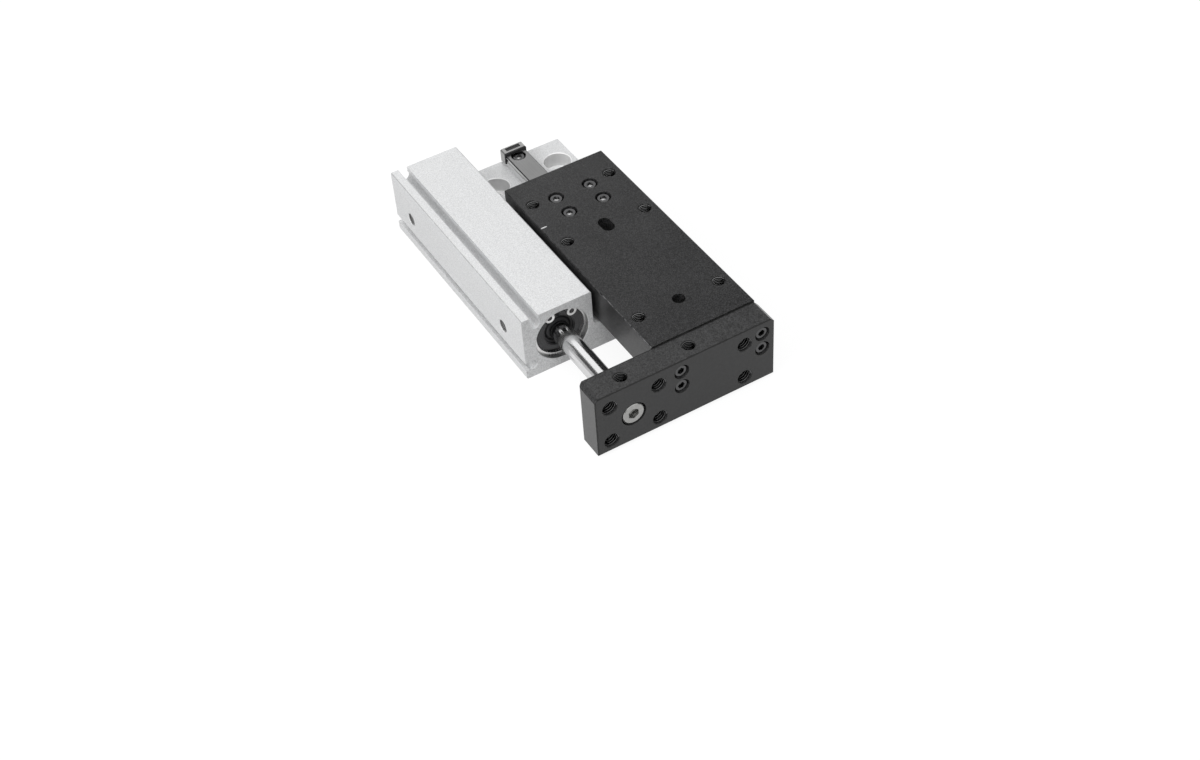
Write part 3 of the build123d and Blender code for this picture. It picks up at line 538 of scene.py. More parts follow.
@dataclass(frozen=True, kw_only=True)
class GrainedFinish:
    """A soft grain with no direction, as on rubber, plastic, sintered metal, black steel and cut threads."""

    name: str
    colour: Colour
    roughness: float
    metallic: float = 0.0
    grain_scale: float = 2200.0
    grain_depth: float = 0.12
    mottle: float = 0.06
    mottle_scale: float = 160.0
    rough_share: float = 0.1
    bump: float = 0.00001

    def grain(self, surface: Surface) -> dict[str, object]:
        """Gives the inputs of the grain, by name, for the material in the making."""
        return {"Scale": self.grain_scale, "Depth": self.grain_depth, "Mottle": self.mottle,
                "Mottle Scale": self.mottle_scale}

    def pattern(self, surface: Surface) -> tuple[Socket, Socket, Socket]:
        """Makes what changes over the surface.

        Args:
            surface: the material in the making.

        Returns:
            A tint round 1, a height from 0 to 1 and the roughness.
        """
        grain = surface.effect(Effect.GRAIN, **self.grain(surface))
        rough = surface.around(grain["Height"], self.roughness, self.rough_share, low=0.2, high=0.8)
        return grain["Shade"], grain["Height"], rough

    def worn(self, surface: Surface, node: str, look: Look) -> Look:
        """Gives the look as it is: only a finish with marked edges changes it."""
        return look

    def material(self, node: str = "", zones: Sequence[CutOrPaintedZone] = ()) -> Material:
        """Makes the material.

        Args:
            node: the CAD node, where the material is for one node alone.
            zones: where it was cut or scuffed further, or has painted light and shade.

        Returns:
            The material.
        """
        surface = Surface(f"{self.name}_{node}" if node else self.name)
        tint, height, rough = self.pattern(surface)
        look = (surface.tinted(self.colour, tint), rough, self.metallic)
        surface.paint(self.worn(surface, node, look), zones)
        surface.bump(height, self.bump)
        return surface.material


@dataclass(frozen=True, kw_only=True)
class AnodisedFinish(GrainedFinish):
    """Anodised aluminium: fine blasted grain, faint lines along the stroke, and edges rubbed bare on the body
    and table and darkened to a thin line on the front plate.
    """

    specular: float
    line_depth: float
    edge_finish: BareOrPaintedMetal
    wear_width: float
    edge_breakup: float
    edge_amount: float
    edge_share: float = 1.0
    edge_fade: float = 10.0 * MM
    edge_ends: bool = True
    front_grain: float = 1.0
    coat: float = 0.0
    coat_ior: float = 1.2
    coat_roughness: float = 0.3
    line_stretch: Point = (900.0, 14.0, 900.0)

    def grain(self, surface: Surface) -> dict[str, object]:
        """Gives the inputs of the grain, which is finer on the faces that were milled across the stroke.

        Args:
            surface: the material in the making.

        Returns:
            Input name of the grain group to its value.
        """
        values = super().grain(surface)
        if self.front_grain != 1.0:
            turned_away, face_on = 0.5, 0.9
            along = surface.add("ShaderNodeSeparateXYZ", {0: surface.facing}).outputs[1]
            tilt = surface.math("ABSOLUTE", along)
            share = surface.spread(tilt, turned_away, face_on, 1.0, self.front_grain)
            for name in ("Depth", "Mottle"):
                values[name] = surface.math("MULTIPLY", share, values[name])
        return values

    def pattern(self, surface: Surface) -> tuple[Socket, Socket, Socket]:
        """Makes what changes over the surface: the grain, with faint lines in its tint.

        Args:
            surface: the material in the making.

        Returns:
            A tint round 1, a height from 0 to 1 and the roughness.
        """
        shade, height, rough = super().pattern(surface)
        lines = surface.effect(Effect.LINES, Stretch=self.line_stretch)["Lines"]
        return surface.math("MULTIPLY", shade, surface.around(lines, 1.0, self.line_depth)), height, rough

    def worn(self, surface: Surface, node: str, look: Look) -> Look:
        """Lays the edge finish over the edges, and sets the gloss and the coat that this finish alone has.

        Args:
            surface: the material in the making.
            node: the CAD node whose box gives the edges.
            look: the look away from the edges.

        Returns:
            The look with the edge finish laid over its edges.
        """
        low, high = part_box(node)
        past = Vector((0.0, 0.0 if self.edge_ends else FAR, 0.0))
        edges = surface.effect(Effect.EDGES, Low=low - past, High=high + past, Width=self.wear_width,
                               Breakup=self.edge_breakup, Fade=self.edge_fade,
                               Until=low.y + (high.y - low.y) * self.edge_share)["Mask"]
        surface.set(Specular_IOR_Level=self.specular, Coat_Weight=self.coat, Coat_IOR=self.coat_ior,
                    Coat_Roughness=self.coat_roughness)
        return surface.lay(surface.math("MULTIPLY", edges, self.edge_amount), self.edge_finish, look)


@dataclass(frozen=True, kw_only=True)
class MarkedFinish(GrainedFinish):
    """Bare metal with the fine marks of its making and a little grain."""

    contrast: float

    def marks(self, surface: Surface) -> Socket:
        """Gives the marks, from 0 to 1, for the material in the making."""
        raise NotImplementedError

    def pattern(self, surface: Surface) -> tuple[Socket, Socket, Socket]:
        """Makes what changes over the surface.

        Args:
            surface: the material in the making.

        Returns:
            A tint round 1, a height from 0 to 1 and the roughness.
        """
        marks = self.marks(surface)
        shade = surface.effect(Effect.GRAIN, **self.grain(surface))["Shade"]
        tint = surface.math("MULTIPLY", surface.around(marks, 1.0, self.contrast), shade)
        return tint, marks, surface.around(marks, self.roughness, self.rough_share)


@dataclass(frozen=True, kw_only=True)
class LinedSteelFinish(MarkedFinish):
    """Ground, stamped or drawn steel, with fine lines along one direction."""

    stretch: Point
    metallic: float = 1.0
    grain_scale: float = 3000.0
    grain_depth: float = 0.05
    mottle: float = 0.05
    rough_share: float = 0.15
    bump: float = 0.000004

    def marks(self, surface: Surface) -> Socket:
        """Gives the lines, for the material in the making."""
        return surface.effect(Effect.LINES, Stretch=self.stretch)["Lines"]


@dataclass(frozen=True, kw_only=True)
class TurnedFinish(MarkedFinish):
    """A turned metal face, with fine rings round an axis along the stroke."""

    centre: Point
    grain_scale: float = 3500.0
    grain_depth: float = 0.04
    mottle: float = 0.03
    rough_share: float = 0.2
    bump: float = 0.000003

    def marks(self, surface: Surface) -> Socket:
        """Gives the rings, for the material in the making."""
        return surface.effect(Effect.RINGS, Centre=self.centre, Flatten=ACROSS_Y)["Rings"]


CLEAR_ANODISED = AnodisedFinish(
    name="clear_anodised", colour=(0.66, 0.665, 0.67), roughness=0.45, metallic=0.25, specular=0.5,
    grain_scale=2300.0, grain_depth=0.3, mottle=0.015, bump=0.000014, line_depth=0.012,
    edge_finish=BareOrPaintedMetal(0.3, 0.85, 0.3), wear_width=0.0004, edge_breakup=0.12, edge_amount=0.6, edge_ends=False)
TABLE_ANODISED = AnodisedFinish(
    name="black_anodised", colour=(0.019, 0.019, 0.0195), roughness=0.34, specular=0.15,
    grain_scale=2300.0, grain_depth=2.4, mottle=0.26, mottle_scale=36.0, bump=0.000016, line_depth=0.05,
    edge_finish=BareOrPaintedMetal(0.3, 0.5, 0.3), wear_width=0.00022, edge_breakup=0.5, edge_amount=0.6, edge_share=0.35,
    edge_ends=False, coat=1.0, coat_ior=1.27)
# On the front plate the edge finish darkens the edges to a thin, matte, dark line.
PLATE_ANODISED = replace(TABLE_ANODISED, colour=(0.032, 0.032, 0.0325), grain_depth=1.1, mottle=0.1,
                         edge_finish=BareOrPaintedMetal(0.01, 0.0, 0.6), wear_width=0.0005, edge_amount=0.9,
                         edge_share=1.0, edge_ends=True, front_grain=0.08, coat_ior=1.26)
# Threads of the black parts: a lighter copy with painted light for the table's holes, a darker copy with
# painted shade for the plate's
LIT_THREAD = GrainedFinish(name="lit_thread", colour=(0.26, 0.26, 0.262), roughness=0.2, metallic=1.0,
                           grain_scale=2600.0, grain_depth=0.03, bump=0.000001)
SHADED_THREAD = replace(LIT_THREAD, name="shaded_thread", colour=(0.15, 0.15, 0.152))
GROUND_STEEL = LinedSteelFinish(name="ground_steel", colour=(0.33, 0.33, 0.33), roughness=0.34,
                                stretch=(2600.0, 40.0, 2600.0), contrast=0.06)
SPRING_STEEL = LinedSteelFinish(name="spring_steel", colour=(0.88, 0.88, 0.875), roughness=0.3,
                                stretch=(1800.0, 1800.0, 60.0), contrast=0.08)
RAIL_STOP_STEEL = LinedSteelFinish(name="rail_stop_steel", colour=(0.43, 0.43, 0.425), roughness=0.3,
                                   stretch=(60.0, 2200.0, 2200.0), contrast=0.08)
PLATED_STEEL = LinedSteelFinish(name="plated_steel", colour=(0.44, 0.44, 0.43), roughness=0.22,
                                stretch=(900.0, 900.0, 900.0), contrast=0.05)
ROD_CHROME = LinedSteelFinish(name="rod_chrome", colour=(0.84, 0.84, 0.845), roughness=0.11,
                              stretch=(20.0, 4500.0, 20.0), contrast=0.02, bump=0.000006)
TURNED_GLAND = TurnedFinish(name="dark_anodised", colour=(0.07, 0.07, 0.072), roughness=0.2, metallic=0.8,
                            contrast=0.2, centre=middle("rod_gland"))
TURNED_PISTON = TurnedFinish(name="plain_aluminium", colour=(0.7, 0.7, 0.71), roughness=0.3, metallic=0.9,
                             contrast=0.06, centre=middle("piston_rod"))
BLACK_STEEL = GrainedFinish(name="black_steel", colour=(0.12, 0.12, 0.122), roughness=0.17, metallic=1.0,
                            grain_scale=3200.0, grain_depth=0.1, bump=0.000002)
SEAL_RUBBER = GrainedFinish(name="seal_rubber", colour=(0.018, 0.018, 0.019), roughness=0.5,
                            grain_scale=1800.0)
CAP_PLASTIC = GrainedFinish(name="cap_plastic", colour=(0.05, 0.05, 0.055), roughness=0.45,
                            grain_scale=1500.0)
WEAR_PLASTIC = GrainedFinish(name="wear_plastic", colour=(0.2, 0.17, 0.13), roughness=0.5)
MAGNET_FERRITE = GrainedFinish(name="magnet_ferrite", colour=(0.1, 0.1, 0.1), roughness=0.6, metallic=0.3)
BRONZE = GrainedFinish(name="bronze", colour=(0.5, 0.34, 0.17), roughness=0.42, metallic=0.9,
                       grain_scale=3600.0, grain_depth=0.25)
BALL_STEEL = GrainedFinish(name="ball_steel", colour=(0.7, 0.7, 0.71), roughness=0.08, metallic=1.0,
                           grain_depth=0.02, bump=0.0000005)

# The base holes' milled rim and floor are brightened: a painted highlight on the rim and painted light on the
# floor
MILLED_RIM_HIGHLIGHT = BareOrPaintedMetal(0.9, 0.25, 0.4)
MILLED_WALL = BareOrPaintedMetal(0.66, 0.25, 0.4)
MILLED_FLOOR_LIGHT = BareOrPaintedMetal(0.97, 0.1, 0.5)
# The bore's wall: bored metal, darkened as painted shade
BORED_WALL_SHADE = BareOrPaintedMetal(0.16, 0.85, 0.34)
# The air ports' walls: machined metal, darkened as painted shade
PORT_WALL_SHADE = BareOrPaintedMetal(0.35, 0.6, 0.35)
# The rail's ground sides, brightened as a painted reflection, and a dark line of painted shade along their
# upper edges
RAIL_SIDE_SHEEN = BareOrPaintedMetal(0.74, 1.0, 0.28)
RAIL_EDGE_SHADE = BareOrPaintedMetal(0.08, 1.0, 0.35)
# Painted glint: a bright floor in the sockets that face up, standing in for a highlight
PAINTED_GLINT_FLOOR = BareOrPaintedMetal(0.8, 1.0, 0.3)
SCUFF = BareOrPaintedMetal(0.6, 0.3, 0.5)


@cache
def plain(finish: GrainedFinish) -> Material:
    """Makes a finish's material once, for every node that has it with no cut areas."""
    return finish.material()


def dress(material: Material, *nodes: str) -> None:
    """Gives CAD nodes their material.

    Args:
        material: what they are made of.
        nodes: the CAD nodes.
    """
    for node in nodes:
        mesh = frame["nodes"][node].data
        mesh.materials.clear()
        mesh.materials.append(material)
        log.info("dressed %s with %s", node, material.name)


def solid_boxes(node: str) -> list[tuple[Vector, Vector]]:
    """Finds the box of each separate solid of a node, on a copy whose loose triangles are joined.

    Args:
        node: a CAD node that holds several like solids.

    Returns:
        The lowest and highest corner of each solid.
    """
    mesh = bmesh.new()
    mesh.from_mesh(frame["nodes"][node].data)
    bmesh.ops.remove_doubles(mesh, verts=mesh.verts, dist=SAME_POINT_CAD)
    mesh.verts.ensure_lookup_table()
    seen: set[int] = set()
    boxes = []
    for start in mesh.verts:
        if start.index in seen:
            continue
        seen.add(start.index)
        stack, points = [start], []
        while stack:
            vertex = stack.pop()
            points.append(vertex.co.copy())
            for edge in vertex.link_edges:
                other = edge.other_vert(vertex)
                if other.index not in seen:
                    seen.add(other.index)
                    stack.append(other)
        low, high = (Vector([pick(p[i] for p in points) for i in range(3)]) for pick in (min, max))
        boxes.append((low, high))
    mesh.free()
    return boxes


def hole_places(*names: str) -> list[Vector]:
    """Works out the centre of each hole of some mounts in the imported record.

    Args:
        names: mounts that are a bolt pattern or a single hole.

    Returns:
        The hole centres at the mouths.
    """
    places = []
    for name in names:
        mount = next(m for m in frame["record"]["mounts"] if m["name"] == name)
        across = [i for i in range(3) if abs(mount["axis"][i]) < 0.5]
        steps = []
        for axis, key in zip(across, ("spacing_x_mm", "spacing_y_mm")):
            step = Vector((0.0, 0.0, 0.0))
            step[axis] = mount["dims"].get(key, 0.0) * MM / 2
            steps.append([-step, step] if step[axis] else [step])
        places += [Vector(mount["pos_m"]) + a + b for a in steps[0] for b in steps[1]]
    return places


class GrowthTree(NodeGroup):
    """A Geometry Nodes tree that sets a like thing on each point, turned one way, in one material."""

    def __init__(self, name: str, inputs: dict[str, Kind]) -> None:
        """Makes the tree with its sockets.

        Args:
            name: the tree's name.
            inputs: name of each input, other than Geometry, Turn and Material, to its kind.
        """
        ends = {"Turn": Kind.VECTOR, "Material": Kind.MATERIAL}
        super().__init__(name, "GeometryNodeTree", {"Geometry": Kind.GEOMETRY, **inputs, **ends},
                         {"Geometry": Kind.GEOMETRY})

    def close(self, thing: Socket) -> None:
        """Ends the tree with the thing on each point, realized and in its material.

        Args:
            thing: the geometry that each point gets.
        """
        points = self.out("GeometryNodeMeshToPoints", {"Mesh": self.source["Geometry"]})
        copies = self.out("GeometryNodeInstanceOnPoints", {"Points": points, "Instance": thing,
                                                           "Rotation": self.source["Turn"]})
        real = self.out("GeometryNodeRealizeInstances", {"Geometry": copies})
        dressed = self.out("GeometryNodeSetMaterial", {"Geometry": real, "Material": self.source["Material"]})
        self.fill(self.result["Geometry"], dressed)

    def grow(self, name: str, points: Sequence[Vector], values: dict[str, object]) -> bpy.types.Object:
        """Runs the tree on a cloud of points and gives the result as a plain mesh object.

        Args:
            name: the new piece's name.
            points: where the tree's things go.
            values: input name to its value.

        Returns:
            An object at the origin with the finished mesh.
        """
        seed = bpy.data.meshes.new(name)
        seed.from_pydata([tuple(p) for p in points], [], [])
        piece = add_object(name, seed)
        modifier = piece.modifiers.new("grow", "NODES")
        modifier.node_group = self.tree
        for key, value in values.items():
            modifier[self.keys[key]] = value
        bpy.context.view_layer.update()
        evaluated = piece.evaluated_get(bpy.context.evaluated_depsgraph_get())
        mesh = bpy.data.meshes.new_from_object(evaluated)
        piece.modifiers.remove(modifier)
        piece.data = mesh
        mesh.name = name
        outward(mesh)
        return piece


def outward(mesh: bpy.types.Mesh) -> None:
    """Merges doubles and turns every face of a closed mesh outwards.

    Args:
        mesh: the mesh to change.
    """
    work = bmesh.new()
    work.from_mesh(mesh)
    bmesh.ops.remove_doubles(work, verts=work.verts, dist=SAME_POINT_GROWN)
    bmesh.ops.recalc_face_normals(work, faces=work.faces)
    work.to_mesh(mesh)
    work.free()


def make_thread_tree() -> GrowthTree:
    """Builds the tree that winds a screw thread inside each hole.

    Returns:
        A tree whose points are the hole mouths. Turn points +Z down the hole, and Depth is how far a ridge
        stands in from the wall.
    """
    tree = GrowthTree("thread_ridges", dict.fromkeys(("Radius", "Pitch", "Depth", "Length"), Kind.VALUE))
    turn_points, ridge_sides = 40, 3
    reach_share, shift_share, width_share = 0.7, 0.3, 0.48
    radius, depth, length = tree.source["Radius"], tree.source["Depth"], tree.source["Length"]
    turns = tree.math("DIVIDE", length, tree.source["Pitch"])
    spiral = tree.out("GeometryNodeCurveSpiral", {"Resolution": turn_points, "Rotations": turns,
                                                  "Start Radius": radius, "End Radius": radius,
                                                  "Height": length})
    upright = tree.out("GeometryNodeSetCurveNormal", {"Curve": spiral}, mode="Z_UP")
    circle = tree.out("GeometryNodeCurvePrimitiveCircle", {"Resolution": ridge_sides, "Radius": 1.0})
    size = tree.out("ShaderNodeCombineXYZ", {"X": tree.math("MULTIPLY", depth, reach_share),
                                             "Y": tree.math("MULTIPLY", tree.source["Pitch"], width_share),
                                             "Z": 1.0})
    shift = tree.out("ShaderNodeCombineXYZ", {"X": tree.math("MULTIPLY", depth, shift_share)})
    sized = tree.out("GeometryNodeTransform", {"Geometry": circle, "Scale": size, "Translation": shift})
    tree.close(tree.out("GeometryNodeCurveToMesh", {"Curve": upright, "Profile Curve": sized,
                                                    "Fill Caps": True}))
    return tree


def make_knurl_tree() -> GrowthTree:
    """Builds the tree that sets straight ribs round each screw head.

    Returns:
        A tree whose points are the undersides of the heads. Turn points +Z out of the head.
    """
    inputs = {"Radius": Kind.VALUE, "Height": Kind.VALUE, "Ribs": Kind.COUNT, "Rib Width": Kind.VALUE}
    tree = GrowthTree("head_knurl", inputs)
    rib_sides = 4
    height, ribs = tree.source["Height"], tree.source["Ribs"]
    ring = tree.out("GeometryNodeCurvePrimitiveCircle", {"Resolution": ribs, "Radius": tree.source["Radius"]})
    rib = tree.out("GeometryNodeMeshCylinder", {"Vertices": rib_sides, "Side Segments": 1,
                                                "Radius": tree.source["Rib Width"], "Depth": height})
    lift = tree.out("ShaderNodeCombineXYZ", {"Z": tree.math("MULTIPLY", height, 0.5)})
    lifted = tree.out("GeometryNodeTransform", {"Geometry": rib, "Translation": lift})
    spots = tree.out("GeometryNodeCurveToPoints", {"Curve": ring, "Count": ribs}, mode="COUNT")
    step = tree.math("DIVIDE", math.tau, ribs)
    angle = tree.math("MULTIPLY", tree.out("GeometryNodeInputIndex"), step)
    spin = tree.out("ShaderNodeCombineXYZ", {"Z": angle})
    tree.close(tree.out("GeometryNodeInstanceOnPoints", {"Points": spots, "Instance": lifted,
                                                         "Rotation": spin}))
    return tree


@dataclass(frozen=True)
class GrownPiece:
    """What every piece that a tree grows has: the body it rides on, its slot and the way it points."""

    body: Body
    slot: Slot
    way: Way

    def grow(self, tree: GrowthTree, name: str, points: Sequence[Vector], values: dict[str, object],
             material: Material) -> None:
        """Grows the piece and sets it on its body.

        Args:
            tree: the tree that grows it.
            name: the new piece's name.
            points: where the tree's things go.
            values: input name to its value, other than the turn and the material.
            material: the finish.
        """
        piece = tree.grow(name, points, {**values, "Turn": self.way.turn, "Material": material})
        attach(piece, self.body.value)
        log.info("%s: %d copies, %d faces", name, len(points), len(piece.data.polygons))


@dataclass(frozen=True)
class Thread:
    """One size of screw thread, with how far its ridge stands in from the hole's wall."""

    radius: float
    pitch: float
    ridge: float


M5 = Thread(2.5 * MM, 0.8 * MM, 0.43 * MM)
M6 = Thread(3.0 * MM, 1.0 * MM, 0.54 * MM)


@dataclass(frozen=True)
class TappedHoles(GrownPiece):
    """Like tapped holes. Their threads start a little below the mouths."""

    name: str
    mounts: tuple[str, ...]
    thread: Thread
    length: float
    sink: float = 0.6 * MM

    def build(self, threads: GrowthTree, material: Material) -> None:
        """Winds the threads.

        Args:
            threads: the tree that winds a thread in a hole.
            material: the finish.
        """
        places = [place + self.way.axis * self.sink for place in hole_places(*self.mounts)]
        values = {"Radius": self.thread.radius, "Pitch": self.thread.pitch, "Depth": self.thread.ridge,
                  "Length": self.length}
        self.grow(threads, self.name, places, values, material)


@dataclass
class CylinderSide:
    """The aluminium body with its air ports, and what closes its bore."""

    port_zone: float = 2.55 * MM
    port_reach: float = 6.0 * MM
    bore_zone: float = 11.03 * MM
    counterbore_rim: float = 5.85 * MM
    counterbore_wall: float = 5.52 * MM
    counterbore_depth: float = 6.5 * MM
    rim_reach: float = 0.6 * MM
    floor_reach: float = 0.12 * MM
    ports: TappedHoles = TappedHoles(Body.FIXED, Slot.CLEAR, Way.RIGHT, "port_threads",
                                     ("port_front", "port_rear"), M5, 3.5 * MM, sink=0.3 * MM)

    def counterbores(self) -> list[CutOrPaintedZone]:
        """Finds the looks of the base holes: a milled wall, a rim brightened as a painted highlight and a
        floor brightened as painted light.

        Returns:
            Three zones for each hole, of which the later lie over the earlier.
        """
        base_top = Vector((0, 0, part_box("guide_rail")[0].z))
        wall_reach = self.counterbore_depth - self.floor_reach
        zones = []
        for hole in hole_places("body_base_holes"):
            mouth = hole + base_top
            floor = mouth - Vector((0, 0, self.counterbore_depth))
            zones += [CutOrPaintedZone(mouth, ACROSS_Z, self.counterbore_rim, MILLED_RIM_HIGHLIGHT, self.rim_reach),
                      CutOrPaintedZone(mouth, ACROSS_Z, self.counterbore_wall, MILLED_WALL, wall_reach),
                      CutOrPaintedZone(floor, ACROSS_Z, self.counterbore_wall, MILLED_FLOOR_LIGHT, self.floor_reach)]
        return zones

    def dress(self) -> None:
        """Gives the body and the gland's pieces their finishes."""
        # The bore's wall is darkened with painted shade.
        zones = [CutOrPaintedZone(middle("rod_gland"), ACROSS_Y, self.bore_zone, BORED_WALL_SHADE)]
        # The port walls are darkened with painted shade.
        zones += [CutOrPaintedZone(place, ACROSS_X, self.port_zone, PORT_WALL_SHADE, self.port_reach)
                  for place in hole_places(*self.ports.mounts)]
        dress(CLEAR_ANODISED.material("cylinder_body", zones + self.counterbores()), "cylinder_body")
        dress(plain(TURNED_GLAND), "rod_gland", "rear_cap")
        dress(plain(SPRING_STEEL), "front_retaining_ring", "rear_retaining_ring")
        dress(plain(SEAL_RUBBER), "gland_o_ring", "rear_cap_o_ring", "rod_seal", "front_bumper",
              "rear_bumper")
        dress(plain(BRONZE), "gland_bush")

    def build(self, threads: GrowthTree) -> None:
        """Winds the threads of the two air ports, in the body's own finish."""
        self.ports.build(threads, frame["nodes"]["cylinder_body"].data.materials[0])


@dataclass
class GuideSide:
    """The rail with its stop, and the carriage on it."""

    top_edge: float = 0.35 * MM

    def raceways(self) -> list[CutOrPaintedZone]:
        """Finds the rail's two ground sides, brightened as a painted reflection, and the painted shade along
        their upper edges.

        Returns:
            Two zones for each side.
        """
        low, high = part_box("guide_rail")
        half = (high.z - self.top_edge - low.z) / 2
        zones = []
        for x in (low.x, high.x):
            zones += [CutOrPaintedZone((x, 0.0, low.z + half), ACROSS_Y, half, RAIL_SIDE_SHEEN),
                      CutOrPaintedZone((x, 0.0, high.z), ACROSS_Y, self.top_edge, RAIL_EDGE_SHADE)]
        return zones

    def dress(self) -> None:
        """Gives the rail, its stop and the carriage their finishes."""
        dress(GROUND_STEEL.material("guide_rail", self.raceways()), "guide_rail")
        dress(plain(GROUND_STEEL), "carriage_block")
        dress(plain(SEAL_RUBBER), "rail_stop_pad", "carriage_end_seals")
        dress(plain(RAIL_STOP_STEEL), "rail_stop")
        dress(plain(CAP_PLASTIC), "carriage_end_caps")
        dress(plain(PLATED_STEEL), "carriage_end_screws")
        dress(plain(BALL_STEEL), "carriage_balls")


class PistonSide:
    """The rod and the piston on its end."""

    def dress(self) -> None:
        """Gives the rod and the piston's pieces their finishes."""
        dress(plain(ROD_CHROME), "piston_rod")
        dress(plain(TURNED_PISTON), "piston_front_half", "piston_rear_half")
        dress(plain(SEAL_RUBBER), "piston_seals")
        dress(plain(WEAR_PLASTIC), "piston_wear_ring")
        dress(plain(MAGNET_FERRITE), "piston_magnet")
        dress(plain(PLATED_STEEL), "piston_nut")


@dataclass
class TableSide:
    """The slide table and the front plate with their tapped holes."""

    scuff_inset: float = 1.5 * MM
    scuff_place: float = -12.5 * MM
    scuff_width: float = 0.3 * MM
    scuff_stretch: float = 4.5
    table: TappedHoles = TappedHoles(Body.SLIDE, Slot.BLACK, Way.DOWN, "table_threads",
                                     ("table_holes", "table_middle_holes"), M5, 9.0 * MM)
    plate_top: TappedHoles = TappedHoles(Body.SLIDE, Slot.BLACK, Way.DOWN, "plate_top_threads",
                                         ("plate_top_holes",), M5, 7.0 * MM)
    plate_face: TappedHoles = TappedHoles(Body.SLIDE, Slot.BLACK, Way.BACK, "plate_threads",
                                          ("plate_holes", "plate_far_holes"), M6, 7.7 * MM)

    def scuff(self) -> CutOrPaintedZone:
        """Gives the small bare scuff near the left edge of the table's top.

        Returns:
            A zone that is longer across the stroke than along it.
        """
        low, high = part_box("slide_table")
        centre = (low.x + self.scuff_inset, self.scuff_place, high.z)
        return CutOrPaintedZone(centre, (1 / self.scuff_stretch, 1.0, 1.0), self.scuff_width, SCUFF)

    def dress(self) -> None:
        """Gives table and plate the black anodised finish."""
        dress(TABLE_ANODISED.material("slide_table", [self.scuff()]), "slide_table")
        dress(PLATE_ANODISED.material("front_plate"), "front_plate")

    def build(self, threads: GrowthTree) -> None:
        """Winds the threads of the table's and plate's tapped holes.

        Args:
            threads: the tree that winds a thread in a hole.
        """
        self.table.build(threads, plain(LIT_THREAD))
        self.plate_top.build(threads, plain(SHADED_THREAD))
        self.plate_face.build(threads, plain(SHADED_THREAD))


@dataclass(frozen=True)
class Head:
    """The sizes of one kind of socket screw head."""

    radius: float
    height: float
    edge: float
    ribs: int
    socket: float
    rib_width: float = 0.14 * MM
    glint_radius: float = 1.5 * MM


M3_HEAD = Head(radius=2.75 * MM, height=3.0 * MM, edge=0.5 * MM, ribs=32, socket=1.9 * MM)
M5_HEAD = Head(radius=4.25 * MM, height=5.0 * MM, edge=0.2 * MM, ribs=44, socket=3.0 * MM)


@dataclass(frozen=True)
class ScrewHeads(GrownPiece):
    """The heads of one node's socket screws."""

    node: str
    head: Head

    def undersides(self) -> list[Vector]:
        """Finds where the heads start.

        Returns:
            The middle of each head's underside.
        """
        axis = self.way.axis
        places = []
        for low, high in solid_boxes(self.node):
            reach = abs((high - low).dot(axis)) / 2
            places.append((low + high) / 2 + axis * (reach - self.head.height))
        return places

    def glint_floors(self, undersides: Sequence[Vector]) -> list[CutOrPaintedZone]:
        """Gives the painted glint: a bright floor in each socket that faces up, standing in for a highlight.

        Args:
            undersides: the middle of each head's underside.

        Returns:
            One zone for each head, or none where the heads face the front.
        """
        if self.way is not Way.UP:
            return []
        up = self.way.axis * (self.head.height - self.head.socket)
        return [CutOrPaintedZone(place + up, EVERY_WAY, self.head.glint_radius, PAINTED_GLINT_FLOOR) for place in undersides]

    def build(self, knurl: GrowthTree) -> None:
        """Dresses the screws and sets the ribs round their heads.

        Args:
            knurl: the tree that ribs a head.
        """
        places, head = self.undersides(), self.head
        finish = PLATED_STEEL if self.slot is Slot.PLATED else BLACK_STEEL
        material = finish.material(self.node, self.glint_floors(places))
        dress(material, self.node)
        values = {"Radius": head.radius, "Height": head.height - head.edge, "Ribs": head.ribs,
                  "Rib Width": head.rib_width}
        self.grow(knurl, f"{self.node}_knurl", places, values, material)


@dataclass
class Screws:
    """Every socket screw, with its knurled head."""

    sets: tuple[ScrewHeads, ...] = (
        ScrewHeads(Body.FIXED, Slot.SCREW, Way.UP, "rail_screws", M3_HEAD),
        ScrewHeads(Body.SLIDE, Slot.SCREW, Way.UP, "carriage_screws", M3_HEAD),
        ScrewHeads(Body.SLIDE, Slot.SCREW, Way.FRONT, "plate_screws", M3_HEAD),
        ScrewHeads(Body.SLIDE, Slot.PLATED, Way.FRONT, "rod_screw", M5_HEAD),
    )

    def build(self, knurl: GrowthTree) -> None:
        """Builds each set with the tree that ribs a head."""
        for heads in self.sets:
            heads.build(knurl)


@dataclass(frozen=True)
class SoftLamp:
    """A square studio lamp that looks at the object."""

    name: str
    place: Point
    size: float
    power: float

    def build(self, target: Vector) -> None:
        """Hangs the lamp.

        Args:
            target: the point that it looks at.
        """
        light = bpy.data.lights.new(self.name, "AREA")
        light.size = self.size
        light.energy = self.power
        lamp = add_object(self.name, light)
        lamp.visible_glossy = False
        lamp.location = self.place
        lamp.rotation_euler = (target - Vector(self.place)).to_track_quat("-Z", "Y").to_euler()


def stage_sheet(name: str, points: Sequence[Point], faces: Sequence[tuple[int, ...]],
                material: Material) -> bpy.types.Object:
    """Makes a sheet of the studio, which isn't part of the object.

    Args:
        name: the sheet's name.
        points: its corners.
        faces: the corners of each face, by number.
        material: its finish.

    Returns:
        The sheet.
    """
    mesh = bpy.data.meshes.new(name)
    mesh.from_pydata(points, [], faces)
    mesh.materials.append(material)
    sheet = add_object(name, mesh)
    sheet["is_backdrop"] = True
    return sheet


